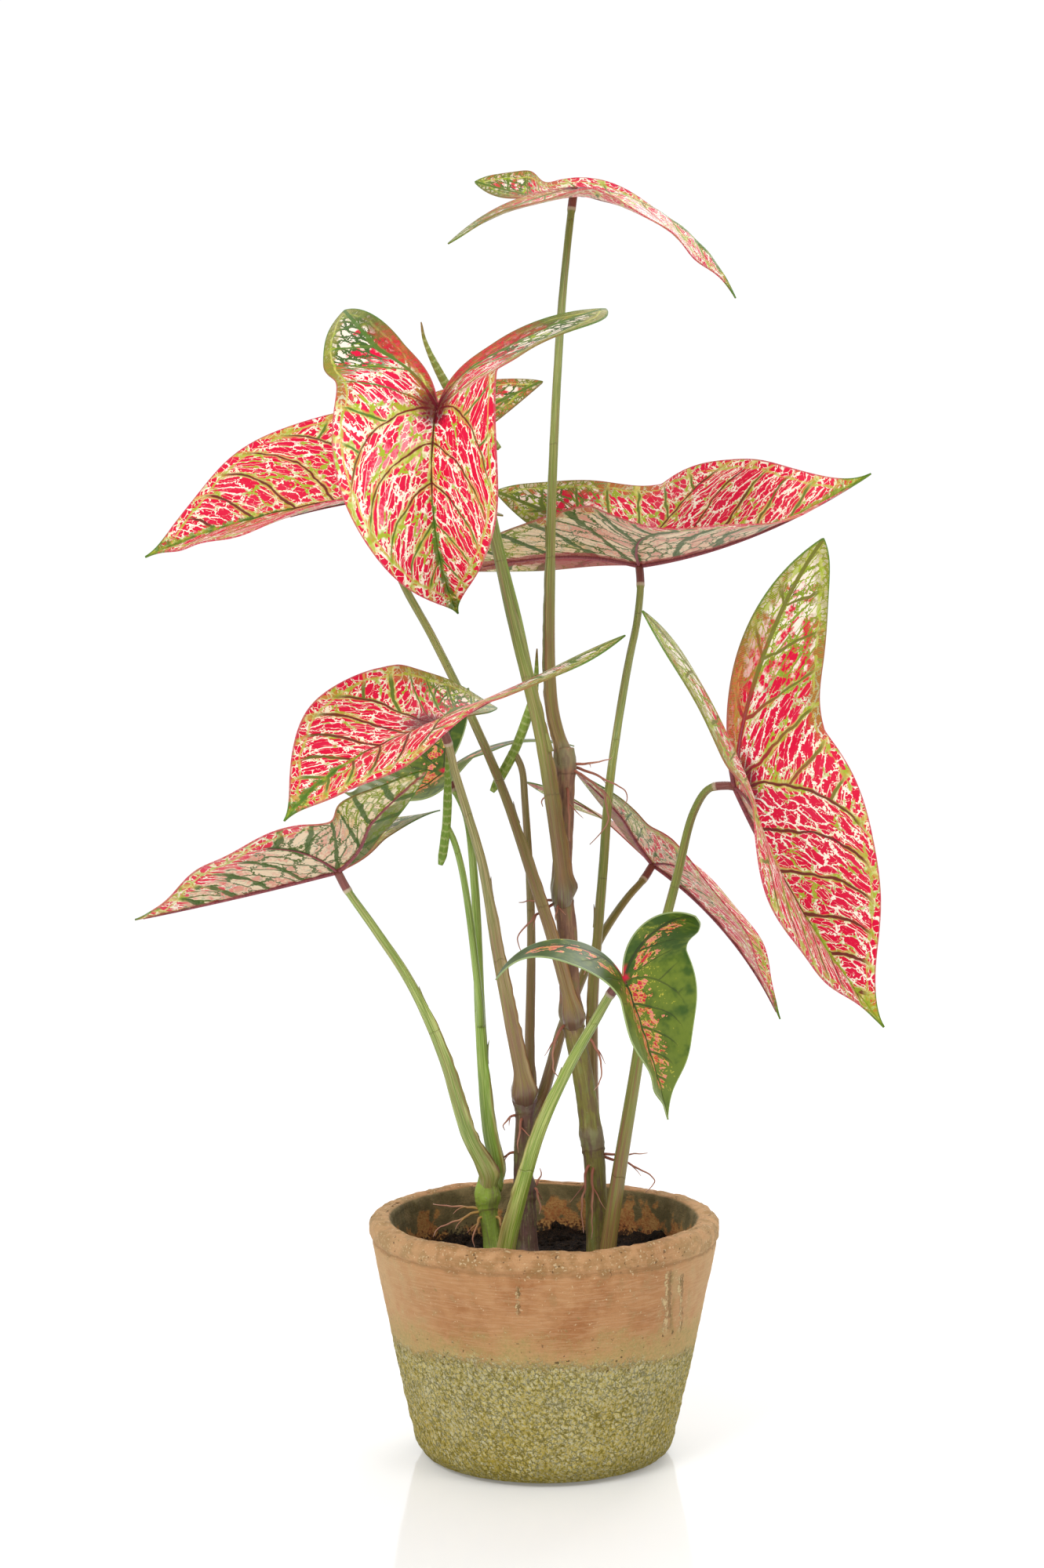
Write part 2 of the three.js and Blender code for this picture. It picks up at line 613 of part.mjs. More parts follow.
function soilSolid() {
  const positions = [];
  const triangles = [];
  const floorRadius = innerRadius(soilFloor + soilChamfer) - gap;
  const topRadius = innerRadius(soilLevel) - 2 * gap;
  const edgeLevel = soilLevel - soilEdgeDrop;
  positions.push(0, 0, soilHeight(0, 0));
  const rings = evenStations(soilRings, 0, 1).slice(1);
  for (const share of rings) {
    for (let i = 0; i < soilSegments; i += 1) {
      const angle = (2 * Math.PI * i) / soilSegments;
      const x = Math.cos(angle) * topRadius * share;
      const y = Math.sin(angle) * topRadius * share;
      positions.push(x, y, share === 1 ? Math.min(soilHeight(x, y), edgeLevel) : soilHeight(x, y));
    }
  }
  const foot = [[floorRadius, soilFloor + soilChamfer], [floorRadius - soilChamfer, soilFloor + gap]];
  for (const [radius, height] of foot) {
    for (let i = 0; i < soilSegments; i += 1) {
      const angle = (2 * Math.PI * i) / soilSegments;
      positions.push(Math.cos(angle) * radius, Math.sin(angle) * radius, height);
    }
  }
  const bottom = positions.length / 3;
  positions.push(0, 0, soilFloor + gap);
  for (let i = 0; i < soilSegments; i += 1) {
    const next = (i + 1) % soilSegments;
    triangles.push(0, 1 + i, 1 + next);
    for (let ring = 0; ring < soilRings + 1; ring += 1) {
      const a = 1 + ring * soilSegments;
      const b = a + soilSegments;
      triangles.push(a + i, b + i, b + next, a + i, b + next, a + next);
    }
    const last = 1 + (soilRings + 1) * soilSegments;
    triangles.push(bottom, last + next, last + i);
  }
  return solidFrom(positions, triangles);
}

// ---------- assembly ----------

const group = new THREE.Group();

group.add(namedMesh("pot", geometryFrom(potSolid()), finishes.clay));

const growingFrom = {};
let soil = soilSolid();
for (const [name, cane] of Object.entries(canes)) {
  growingFrom[name] = caneSolid(cane, gap);
  soil = soil.subtract(growingFrom[name]);
  const roots = cane.roots.map((root) => rootSolid(cane, root));
  const solid = roots.reduce((sum, root) => sum.add(root), caneSolid(cane));
  group.add(namedMesh(name, geometryFrom(solid), finishes.cane));
}

for (const [name, stalk] of Object.entries(stalks)) {
  growingFrom[`stalk_${name}`] = stalkSolid(stalk, gap);
  if (stalk.from.length === 0) {
    soil = soil.subtract(growingFrom[`stalk_${name}`]);
  }
  let solid = stalkSolid(stalk);
  for (const carrier of stalk.from) {
    solid = largestBody(solid.subtract(growingFrom[carrier]));
  }
  if (leaves[name]) {
    const cutter = placed(bladeSolid(leaves[name], bladeThickness / 2 + gap), bladePose(leaves[name]));
    solid = largestBody(solid.subtract(cutter));
  }
  group.add(namedMesh(`stalk_${name}`, geometryFrom(solid), finishes.stalk));
}

for (const [name, leaf] of Object.entries(leaves)) {
  const finish = name === "h" || name === "j" ? finishes.greenBlade : finishes.blade;
  const mesh = namedMesh(`leaf_${name}`, geometryFrom(bladeSolid(leaf)), finish);
  const { turn, place } = bladePose(leaf);
  mesh.rotation.copy(turn);
  mesh.position.copy(place);
  group.add(mesh);
}

for (const [name, leaf] of Object.entries(rolledLeaves)) {
  const solid = largestBody(rolledSolid(leaf).subtract(stalkSolid(stalks[name], gap)));
  group.add(namedMesh(`leaf_${name}`, geometryFrom(solid), finishes.stalk));
}

group.add(namedMesh("soil", geometryFrom(largestBody(soil)), finishes.earth));

export default group;
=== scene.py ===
# %% [markdown]
# # A potted caladium
#
# An old clay pot holds dark soil, three ringed canes with thin roots, ten arrow-shaped leaves on long stalks and
# three young leaves that are still rolled. This lesson builds the looks of each of them from formulas: numpy works
# out the shapes, and shader nodes paint them. Lengths are in millimetres until a mesh is made, because a leaf's
# sizes are easier to read that way.

# %% Load the frame
import math
from functools import partialmethod
from types import SimpleNamespace

import bpy
import numpy as np
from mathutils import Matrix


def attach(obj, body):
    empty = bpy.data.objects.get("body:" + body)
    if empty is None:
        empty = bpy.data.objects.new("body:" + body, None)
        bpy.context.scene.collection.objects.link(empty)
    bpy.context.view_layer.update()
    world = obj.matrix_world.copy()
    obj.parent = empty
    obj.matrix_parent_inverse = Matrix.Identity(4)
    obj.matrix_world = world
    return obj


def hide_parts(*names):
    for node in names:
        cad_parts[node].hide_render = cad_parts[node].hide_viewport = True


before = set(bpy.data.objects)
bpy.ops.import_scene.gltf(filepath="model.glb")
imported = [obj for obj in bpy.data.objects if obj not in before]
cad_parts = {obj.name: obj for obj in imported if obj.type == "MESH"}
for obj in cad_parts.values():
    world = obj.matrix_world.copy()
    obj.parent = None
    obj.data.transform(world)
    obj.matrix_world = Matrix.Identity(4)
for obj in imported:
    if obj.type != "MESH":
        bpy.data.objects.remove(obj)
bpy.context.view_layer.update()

# %% [markdown]
# ## Small tools
#
# Blender measures in metres and its shader works with linear colours. Two short functions turn millimetres and
# screen colours into those, so that the rest of the lesson can use the numbers a maker would write down.

# %% Units and colours
MM = 0.001


def paint(code):
    """A screen colour #RRGGBB as linear red, green, blue and alpha: each channel is raised to the power 2.4."""
    channel = np.array([int(code[i : i + 2], 16) for i in (1, 3, 5)]) / 255
    linear = np.where(channel <= 0.04045, channel / 12.92, ((channel + 0.055) / 1.055) ** 2.4)
    return (*(float(value) for value in linear), 1.0)


def smooth(value, low, high):
    """0 below low, 1 above high, and an S-shaped rise 3t^2 - 2t^3 between them."""
    share = np.clip((value - low) / (high - low), 0, 1)
    return share * share * (3 - 2 * share)


print("clay in linear colour:", tuple(round(v, 3) for v in paint("#C08A5C")))

# %% [markdown]
# A few more helpers do what comes back for every stalk, cane, root and the pot: directions of length 1, the angles
# of a ring's points, the length run along a line, and the places at given lengths.


# %% Directions, rings and lines
def unit(vectors):
    """The same directions, each with length 1."""
    return vectors / np.maximum(np.linalg.norm(vectors, axis=-1, keepdims=True), 1e-12)


def level_direction(azimuth):
    """The level direction at an azimuth in degrees: its cosine, its sine and 0."""
    return np.array([math.cos(math.radians(azimuth)), math.sin(math.radians(azimuth)), 0])


def ring_angles(sides):
    return np.arange(sides) * 2 * math.pi / sides


def length_run(line):
    """How far it is from the start of a line to each of its points."""
    return np.concatenate([[0], np.cumsum(np.linalg.norm(np.diff(line, axis=0), axis=1))])


def place_at(at, run, line):
    """The points of a line at the lengths at, where run holds the length at each of its own points."""
    return np.column_stack([np.interp(at, run, line[:, k]) for k in range(line.shape[1])])


square = np.array([(0, 0), (1, 0), (1, 1)])
print("halfway round a corner:", place_at([1.0], length_run(square), square)[0])

# %% [markdown]
# ## Random textures in numpy
#
# Moss, clay and crumbs of soil need irregular shapes, not only irregular colours. One tool gives soft lumps: random
# numbers on a lattice, blended between its corners. The other gives rounded grains: the distance to the nearest of
# many scattered points. Both are seeded, so that the pot comes out the same every time.

# %% Lumps and grains
LATTICE = 32


def lumps(points, size, seed):
    """Soft values from -1 to 1: eight lattice corners around each point, weighed by how near it is to each."""
    random = np.random.default_rng(seed).uniform(-1, 1, (LATTICE, LATTICE, LATTICE))
    place = np.asarray(points) / size
    corner = np.floor(place).astype(int)
    near = place - corner
    near = near * near * (3 - 2 * near)
    total = np.zeros(len(place))
    for step in np.ndindex(2, 2, 2):
        weight = np.prod(np.where(step, near, 1 - near), axis=1)
        i, j, k = ((corner + step) % LATTICE).T
        total += weight * random[i, j, k]
    return total


def grains(points, size, seed):
    """Rounded grains: 1 at the nearest scattered point, falling to 0 at one lattice step from it."""
    random = np.random.default_rng(seed).uniform(0, 1, (LATTICE, LATTICE, LATTICE, 3))
    place = np.asarray(points) / size
    corner = np.floor(place).astype(int)
    nearest = np.full(len(place), 9.0)
    for step in np.ndindex(3, 3, 3):
        cell = corner + step - 1
        i, j, k = (cell % LATTICE).T
        distance = np.linalg.norm(cell + random[i, j, k] - place, axis=1)
        nearest = np.minimum(nearest, distance)
    return 1 - np.clip(nearest, 0, 1)


print("lumps at three points:", lumps(np.array([[0, 0, 0], [3, 1, 2], [9, 4, 7]]), 5, 1).round(2))

# %% [markdown]
# ## Writing shader maths as sums
#
# A leaf's pattern takes many small calculations. Instead of placing each Math node by hand, a socket is wrapped in
# a class whose plus, minus and times add the node, so that the pattern can be read as a formula. partialmethod fills
# in the first argument of a method, so each sign is the same method with another operation.


# %% A socket that can be used in sums
class Wire:
    """An output socket. Sums and products with it add Math nodes to its material."""

    def __init__(self, finish, socket):
        self.finish = finish
        self.socket = socket

    def math(self, operation, *others):
        """A Math node with this wire and the others as its numbers, in their order."""
        inputs = dict(enumerate((self, *others)))
        return self.finish.node("Math", {"operation": operation}, inputs)

    def __rsub__(self, other):
        return self.finish.node("Math", {"operation": "SUBTRACT"}, {0: other, 1: self})

    __add__ = __radd__ = partialmethod(math, "ADD")
    __sub__ = partialmethod(math, "SUBTRACT")
    __mul__ = __rmul__ = partialmethod(math, "MULTIPLY")
    __truediv__ = partialmethod(math, "DIVIDE")
    __abs__ = partialmethod(math, "ABSOLUTE")
    least = partialmethod(math, "MINIMUM")
    most = partialmethod(math, "MAXIMUM")

    def clipped(self):
        """Cut to the range from 0 to 1."""
        return self.least(1.0).most(0.0)

    def from_whole(self):
        """How far a number is from the nearest whole number, from 0 to 0.5."""
        return abs((self + 0.5).math("FRACT") - 0.5)

    def rises(self, low, high):
        """0 below low, 1 above high, and smooth between them. Where low is above high, it falls instead."""
        settings = {"interpolation_type": "SMOOTHSTEP"}
        if low < high:
            return self.finish.node("MapRange", settings, {0: self, 1: low, 2: high})
        return self.finish.node("MapRange", settings, {0: self, 1: high, 2: low, 3: 1.0, 4: 0.0})

    def parts(self):
        """The three numbers of a vector, or the channels of a colour."""
        split = self.finish.node("SeparateXYZ", {}, {0: self})
        return [Wire(self.finish, socket) for socket in split.socket.node.outputs]


# %% [markdown]
# The material itself is another small class. Its one method for nodes takes the node's type, then its settings, then
# the values or wires for its sockets, in that order, because some sockets only exist once a setting is made. A
# painter builds a colour in coats, and so does its method layers: each coat covers a share of what lies under it.


# %% A material that is built step by step
class Finish:
    """A material under construction, with a Principled shader that its wires are plugged into."""

    def __init__(self, name, sockets):
        self.material = bpy.data.materials.new(name)
        self.material.use_nodes = True
        self.tree = self.material.node_tree
        self.shader = self.tree.nodes["Principled BSDF"]
        for socket, value in sockets.items():
            self.plug(self.shader.inputs[socket], value)

    def plug(self, socket, value):
        """Links a wire to a socket, or sets the socket to a number or to the colour of a code."""
        if isinstance(value, Wire):
            self.tree.links.new(value.socket, socket)
        else:
            socket.default_value = paint(value) if isinstance(value, str) else value

    def node(self, kind, settings, inputs, output=0):
        made = self.tree.nodes.new("ShaderNode" + kind)
        for key, value in settings.items():
            setattr(made, key, value)
        for key, value in inputs.items():
            self.plug(made.inputs[key], value)
        return Wire(self, made.outputs[output])

    def attribute(self, name):
        return self.node("Attribute", {"attribute_name": name}, {}, "Vector")

    def vector(self, x, y, z=0.0):
        return self.node("CombineXYZ", {}, {0: x, 1: y, 2: z})

    def noise(self, place, scale, detail):
        """Soft random values from 0 to 1 around 0.5: scale is how many of them there are to a unit of place."""
        return self.node("TexNoise", {}, {"Vector": place, "Scale": scale, "Detail": detail})

    def cells(self, place, feature, output):
        """Flat cells around random points, one to each square unit of place."""
        settings = {"voronoi_dimensions": "2D", "feature": feature}
        return self.node("TexVoronoi", settings, {"Vector": place, "Scale": 1.0}, output)

    def mix(self, share, first, second):
        return self.node("Mix", {"data_type": "RGBA"}, {0: share, 6: first, 7: second}, 2)

    def layers(self, colour, *coats):
        """Coats as pairs of share and colour, mixed over the first colour one after the other."""
        for share, coat in coats:
            colour = self.mix(share, colour, coat)
        return colour

    def bump(self, height, distance, strength):
        return self.node("Bump", {}, {"Height": height, "Distance": distance, "Strength": strength})

    def done(self, **wires):
        """Plugs the named wires into the shader; an underscore in a name stands for a space."""
        for name, wire in wires.items():
            self.plug(self.shader.inputs[name.replace("_", " ")], wire)
        return self.material


# %% [markdown]
# ## Making a mesh from arrays
#
# numpy gives an array of points and arrays of faces. foreach_set copies whole arrays into Blender at once, which is
# far quicker than adding vertices one by one. Each finished piece rides on the frame's only body, gets its material,
# and hides the solids of the frame that it stands for.


# %% Pieces from arrays
def add_piece(name, points, faces, nodes, material, fields, sharp=None):
    """A mesh object at the origin from points in millimetres, a list of face arrays, and vector fields by name.
    Edges that bend by more than sharp degrees are shaded sharp."""
    mesh = bpy.data.meshes.new(name)
    corners = np.concatenate([face.ravel() for face in faces])
    sizes = np.concatenate([np.full(len(face), face.shape[1]) for face in faces])
    mesh.vertices.add(len(points))
    mesh.vertices.foreach_set("co", (np.asarray(points) * MM).astype(np.float32).ravel())
    mesh.loops.add(len(corners))
    mesh.loops.foreach_set("vertex_index", corners.astype(np.int32))
    mesh.polygons.add(len(sizes))
    mesh.polygons.foreach_set("loop_start", (np.cumsum(sizes) - sizes).astype(np.int32))
    mesh.polygons.foreach_set("use_smooth", np.ones(len(sizes), dtype=bool))
    for field, values in fields.items():
        layer = mesh.attributes.new(field, "FLOAT_VECTOR", "POINT")
        layer.data.foreach_set("vector", np.asarray(values, dtype=np.float32).ravel())
    mesh.update()
    if sharp is not None:
        mesh.set_sharp_from_angle(angle=math.radians(sharp))
    mesh.materials.append(material)
    piece = bpy.data.objects.new(name, mesh)
    bpy.context.scene.collection.objects.link(piece)
    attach(piece, "root")
    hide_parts(*nodes)
    print(f"{name}: {len(points)} points, {int((sizes - 2).sum())} triangles")


def grid_faces(index, wrap=False):
    """The squares of a grid of point numbers. wrap joins the last column to the first."""
    if wrap:
        index = np.hstack([index, index[:, :1]])
    square = [index[:-1, :-1], index[:-1, 1:], index[1:, 1:], index[1:, :-1]]
    return np.stack(square, axis=-1).reshape(-1, 4)


def ring_faces(rings, sides, flip=False):
    """The faces of rings that follow one another and of two last points, which close the first and the last ring.
    flip turns every face over."""
    index = np.arange(rings * sides).reshape(rings, sides)
    first, last = index[0], index[-1]
    start = np.stack([np.full(sides, index.size), np.roll(first, -1), first], axis=1)
    end = np.stack([np.full(sides, index.size + 1), last, np.roll(last, -1)], axis=1)
    faces = [grid_faces(index, wrap=True), np.vstack([start, end])]
    return [face[:, ::-1] for face in faces] if flip else faces


print("faces of a drum of six sides:", [len(face) for face in ring_faces(2, 6)])

# %% [markdown]
# ## The blade of a leaf
#
# A caladium leaf is arrow-shaped: a heart with two back lobes, fixed to its stalk at a hub that lies a little in
# front of the notch. It could be modelled by hand, but ten leaves of one plant share one plan and differ only in how
# they fold, bend and curl. So the flat outline is drawn once with four Bezier curves, for a blade of length 1 that
# points along +x, and each leaf has its own list of angles.

# %% The flat outline
FRONT_SHARE = 0.55  # part of the outline in front of the widest place
SINUS = 0.035  # the notch ends this far behind the hub
HALF_WIDTH = 0.45
FRONT_MARGIN = [(1, 0.004), (0.79, 0.03), (0.63, 0.41), (0.08, 0.444)]
LOBE_MARGIN = [(0.08, 0.444), (-0.198, 0.461), (-0.65, 0.555), (-0.86, 0.423)]
MIDRIB = [(1, 0), (0.7, 0), (0.3, 0), (-SINUS, 0)]
LOBE_INNER = [(-SINUS, 0), (-0.11, 0.038), (-0.445, 0.08), (-0.856, 0.415)]


def cubic(points, share):
    """A cubic Bezier curve: the four points weighed by the terms of ((1 - t) + t)^3."""
    t = np.asarray(share, dtype=float)[..., None]
    a, b, c, d = (np.array(point, dtype=float) for point in points)
    return a * (1 - t) ** 3 + 3 * b * t * (1 - t) ** 2 + 3 * c * t * t * (1 - t) + d * t**3


def flat_blade(along, across):
    """A point of the flat half blade: on the straight line from the midrib, or the lobe's inner edge, to the
    margin. along runs from the tip (0) to the end of the lobe (1), across from the middle (0) to the margin (1)."""
    in_front = (along <= FRONT_SHARE)[..., None]
    ahead = np.clip(along / FRONT_SHARE, 0, 1)
    behind = np.clip((along - FRONT_SHARE) / (1 - FRONT_SHARE), 0, 1)
    start = np.where(in_front, cubic(MIDRIB, ahead), cubic(LOBE_INNER, behind))
    edge = np.where(in_front, cubic(FRONT_MARGIN, ahead), cubic(LOBE_MARGIN, behind))
    return start + (edge - start) * across[..., None]


print("widest place:", flat_blade(np.array([FRONT_SHARE]), np.array([1.0])))

# %% [markdown]
# Each leaf then has the place of its hub, the way it points, and its angles in degrees, in the order of PLAN. Pairs
# belong to the left and the right half. fold lifts a half at the midrib, cup rounds it, bend and twist shape the
# front, and lobe, splay, lift and roll shape the back lobes.

# %% The ten leaves
WAVES = 4  # waves along each margin
PLAN = "hub heading droop bank length width bend sweep twist fold cup lobe splay lift roll wave".split()
LEAVES = {
    "a": ((12.5, 5, 531.5), 9, 0, 0, 87, 1.05, -64, 2, 16,
          (-10, -28), (48, 30), (0.66, 0.91), (18, 0), (3, 37), (-23, -14), 1.2),
    "b": ((-42.5, -62, 433), -108, 63, 3, 92, 1, -88, -2, -33,
          (34, 36), (4, -38), (0.94, 0.92), (18, 16), (-3, 36), (-99, -13), 0.8),
    "c": ((-71.5, 10, 403.5), 173, 6, -33, 107, 1.02, -20, -2, -16,
          (25, 29), (7, -13), (0.9, 0.86), (20, 7), (0, -2), (-22, -5), 1.2),
    "d": ((41.5, 40, 376), -27, -6, 23, 107, 1.03, 21, 11, 45,
          (30, 43), (-8, 12), (0.92, 0.63), (1, -12), (-11, 24), (7, 1), 1.6),
    "e": ((79.5, -10, 282), 14, 65, 26, 123, 1.05, 14, 4, 35,
          (34, 27), (12, -29), (1.05, 0.96), (2, 14), (-36, 26), (18, 14), 1.2),
    "f": ((49, 62, 244), -5, 35, -5, 90, 1.01, -31, 1, 14,
          (24, 21), (-22, -7), (0.96, 0.78), (7, 13), (-4, 4), (-22, -1), 1.2),
    "g": ((-41.5, -56, 309), -148, 12, 18, 90, 0.96, -30, 10, -48,
          (8, 21), (-25, 78), (0.97, 0.5), (20, -8), (-8, 10), (21, -75), 0.8),
    "h": ((31, -60, 207.5), 12, 69, 34, 63, 1.08, -13, 8, 0,
          (27, 15), (34, -1), (0.79, 1.08), (1, 2), (-76, 125), (45, -29), 1.0),
    "i": ((-85.5, -20, 247.5), 180, 15, 8, 86, 1.02, 3, 0, 11,
          (28, 33), (-3, -15), (0.89, 0.91), (19, 25), (-5, -3), (-1, -7), 1.6),
    "j": ((-43, 34, 286), -140, 35, 0, 62, 1.01, 58, 7, -29,
          (20, 23), (-1, 0), (1, 0.9), (7, 0), (34, 0), (-39, 1), 0.8),
}
LEAVES = {letter: dict(zip(PLAN, row)) for letter, row in LEAVES.items()}
print("leaves:", ", ".join(LEAVES))

# %% [markdown]
# Bending is done with arcs. A strip that turns by a fixed angle for each unit of its length becomes part of a
# circle, and the sine and cosine of the angle say how far it reaches and how high it rises. First the cross-section
# is bent that way, then the length.


# %% From the flat blade to the bent one
def bent(turn, length):
    """Reach, rise and angle after a length of a strip that turns by turn radians for each unit of length."""
    angle = turn * length
    safe = np.where(np.abs(angle) < 1e-4, 1e-4, angle)
    reach = np.where(np.abs(angle) < 1e-4, length, length * np.sin(safe) / safe)
    rise = np.where(np.abs(angle) < 1e-4, length * angle / 2, length * (1 - np.cos(safe)) / safe)
    return reach, rise, angle


def bend_blade(leaf, flat, side, ripple=0.0):
    """Flat points of one half (side 1 left, -1 right) as millimetres around the hub: the lobe is splayed in its own
    plane, the cross-section folded and cupped, rolled or twisted, and carried along the bent midrib."""
    half = 0 if side > 0 else 1
    angles = {key: math.radians(leaf[key]) for key in ("bend", "sweep", "twist")}
    angles |= {key: math.radians(leaf[key][half]) for key in ("fold", "cup", "splay", "lift", "roll")}
    x, y = flat[..., 0], flat[..., 1] * leaf["width"]
    back = x < 0
    x = np.where(back, x * leaf["lobe"][half], x)
    splay = angles["splay"] * smooth(-x, 0, 0.35)
    splayed = x * np.cos(splay) + y * np.sin(splay), y * np.cos(splay) - x * np.sin(splay)
    x, y = np.where(back, splayed[0], x), np.where(back, splayed[1], y)
    out, up, _ = bent(angles["cup"], y / HALF_WIDTH)
    out, up = out * HALF_WIDTH, up * HALF_WIDTH + ripple
    level = out * math.cos(angles["fold"]) - up * math.sin(angles["fold"])
    height = out * math.sin(angles["fold"]) + up * math.cos(angles["fold"])
    roll = np.where(x >= 0, angles["twist"] * side * x, -angles["roll"] * x)
    level, height = level * np.cos(roll) - height * np.sin(roll), level * np.sin(roll) + height * np.cos(roll)
    reach, rise, angle = bent(np.where(x >= 0, angles["bend"], -angles["lift"]), x)
    shaped = [
        reach - np.sin(angle) * height,
        level * side + angles["sweep"] * np.maximum(x, 0) ** 2,
        rise + np.cos(angle) * height,
    ]
    return np.stack(shaped, axis=-1) * leaf["length"]


print("a strip bent by a right angle reaches", round(float(bent(math.pi / 2, 1.0)[0]), 3), "of its length")


# %% Standing a leaf in its place
def turned(axis, degrees):
    """The matrix that turns points about one axis: cosines on the diagonal of the other two, sines across it."""
    first, second = (axis + 1) % 3, (axis + 2) % 3
    matrix = np.eye(3)
    matrix[first, first] = matrix[second, second] = math.cos(math.radians(degrees))
    matrix[second, first] = math.sin(math.radians(degrees))
    matrix[first, second] = -matrix[second, first]
    return matrix


def stand_blade(leaf, points):
    """Turns points by bank about x, droop about y and heading about z, and moves them to the hub."""
    turn = turned(2, leaf["heading"]) @ turned(1, leaf["droop"]) @ turned(0, leaf["bank"])
    return points @ turn.T + np.array(leaf["hub"])


def margin_wave(leaf, along, across, side):
    """The waves of the margin: a sine along the blade that grows with the cube of the way to the margin."""
    swing = np.sin(2 * math.pi * WAVES * along + side) * np.sin(math.pi * along)
    return leaf["wave"] / leaf["length"] * across**3 * swing


tip = bend_blade(LEAVES["a"], np.array([[1.0, 0.0]]), 1)
print("leaf a ends at", stand_blade(LEAVES["a"], tip)[0].round(1), "mm")

# %% [markdown]
# ## Veins as fields
#
# The veins could be drawn as curves, but the pattern between them follows them too. So each point of the flat blade
# gets numbers instead: how many side veins lie between it and the hub, and how many millimetres it is from the main
# vein and from the margin. Such a field is smooth, so a coarse mesh can carry it, and the shader draws a vein
# wherever the count is a whole number.

# %% Distances on the flat blade
SIDE_VEIN_STEP = 0.165  # along the midrib, in blade lengths
LOBE_VEIN_STEP = 0.22  # along the lobe's main vein
LOBE_AXIS = np.array([-0.897, 0.442])  # from the hub to the end of the lobe
LOBE_ACROSS = np.array([0.442, 0.897])
LOBE_BOW = 0.045  # the lobe's main vein bows outwards


def nearest_on_line(points, line):
    """The shortest distance from each point to a line of short straight pieces, and how far along it that is."""
    start, piece = line[:-1], np.diff(line, axis=0)
    length = np.linalg.norm(piece, axis=1)
    offset = points[:, None, :] - start[None]
    share = np.clip((offset * piece).sum(2) / length**2, 0, 1)
    distance = np.linalg.norm(offset - share[..., None] * piece, axis=2)
    best = distance.argmin(1)
    run = (np.cumsum(length) - length)[best] + share[np.arange(len(points)), best] * length[best]
    return distance.min(1), run


def half_margin():
    """The flat margin of a half blade, from the tip round the lobe to the notch."""
    share = np.linspace(0, 1, 60)
    return np.vstack([cubic(FRONT_MARGIN, share), cubic(LOBE_MARGIN, share)[1:], cubic(LOBE_INNER, share[::-1])[1:]])


margin_steps = np.linalg.norm(np.diff(half_margin(), axis=0), axis=1)
print("round the flat margin:", round(float(margin_steps.sum()), 2), "lengths")


# %% Counts of side veins
def side_vein_count(along, across):
    """The side veins between a point and the hub: where its cross line leaves the midrib, less a lead that grows
    with the square and the fifth power of the way out, because the veins sweep forward near the margin."""
    start = flat_blade(along, np.zeros_like(across))[..., 0]
    half_width = flat_blade(along, np.ones_like(across))[..., 1]
    lead = (0.10 * across**2 + 0.20 * across**5) * half_width / 0.444
    return (start - lead) / SIDE_VEIN_STEP


def count_step(flat, count):
    """The distance on the flat blade from one whole number of a count to the next: 1 over its gradient, which is
    solved from how the count and the place change along both directions of the grid."""
    along_x, across_x = np.gradient(flat[..., 0])
    along_y, across_y = np.gradient(flat[..., 1])
    along_c, across_c = np.gradient(count)
    area = along_x * across_y - along_y * across_x
    area = np.where(np.abs(area) < 1e-9, 1e-9, area)
    slope_x = (along_c * across_y - along_y * across_c) / area
    slope_y = (along_x * across_c - along_c * across_x) / area
    return 1 / np.clip(np.hypot(slope_x, slope_y), 1, 1e3)


print("side veins from the hub to the tip:", side_vein_count(np.zeros(1), np.zeros(1)).round(1)[0])


# %% The vein fields of a half blade
def vein_fields(along, across, length):
    """Vectors for the points of a grid. front: the side-vein count, its step and the distance from the midrib.
    lobe: the same for the lobe's main vein. place: how far in front of the hub, how far from the margin, and 0,
    which later marks the side of the blade. half: 1, which later becomes the half, and the way run round the margin.
    Distances are in millimetres."""
    flat = flat_blade(along, across)
    front_count = side_vein_count(along, across)
    down = flat @ LOBE_AXIS
    out = flat @ LOBE_ACROSS - LOBE_BOW * np.sin(np.clip(down, 0, 0.95) / 0.95 * math.pi)
    lean = np.where(out > 0, 0.9, 1.5)
    lobe_count = (down - lean * np.abs(out) - 0.3 * out * out) / LOBE_VEIN_STEP
    margin, run = nearest_on_line(flat.reshape(-1, 2), half_margin())
    zero = np.zeros(flat.shape[:2])
    front = [front_count, count_step(flat, front_count) * length, flat[..., 1] * length]
    lobe = [lobe_count, count_step(flat, lobe_count) * length, out * length]
    place = [flat[..., 0] * length, margin.reshape(zero.shape) * length, zero]
    half = [zero + 1, run.reshape(zero.shape) * length, zero]
    columns = {"front": front, "lobe": lobe, "place": place, "half": half}
    return {name: np.stack(values, axis=-1).reshape(-1, 3) for name, values in columns.items()}


sample = vein_fields(*np.meshgrid([0.2, 0.3], [0.5, 1.0], indexing="ij"), 100)
print("side veins between the hub and four points:", sample["front"][:, 0].round(2))

# %% [markdown]
# ## The blade's mesh
#
# Two grids, one for each half, share the points of the midrib. The sheet between them is copied to both sides at
# half the blade's thickness, and a narrow wall joins the copies along the margin. On a real leaf the thick veins
# stand out below, so tapered tubes run there from the hub.


# %% Normals and open edges
def point_normals(points, faces):
    """Point normals: the cross product of each square's diagonals, added up at its corners."""
    a, b, c, d = (points[faces[:, k]] for k in range(4))
    normal = np.cross(c - a, d - b)
    total = np.zeros_like(points)
    for k in range(4):
        np.add.at(total, faces[:, k], normal)
    return unit(total)


def open_edges(faces):
    """The directed edges of a sheet that belong to one square only."""
    edges = np.concatenate([faces[:, [k, (k + 1) % 4]] for k in range(4)])
    key = edges[:, 0] * 10**7 + edges[:, 1]
    twin = edges[:, 1] * 10**7 + edges[:, 0]
    return edges[~np.isin(twin, key)]


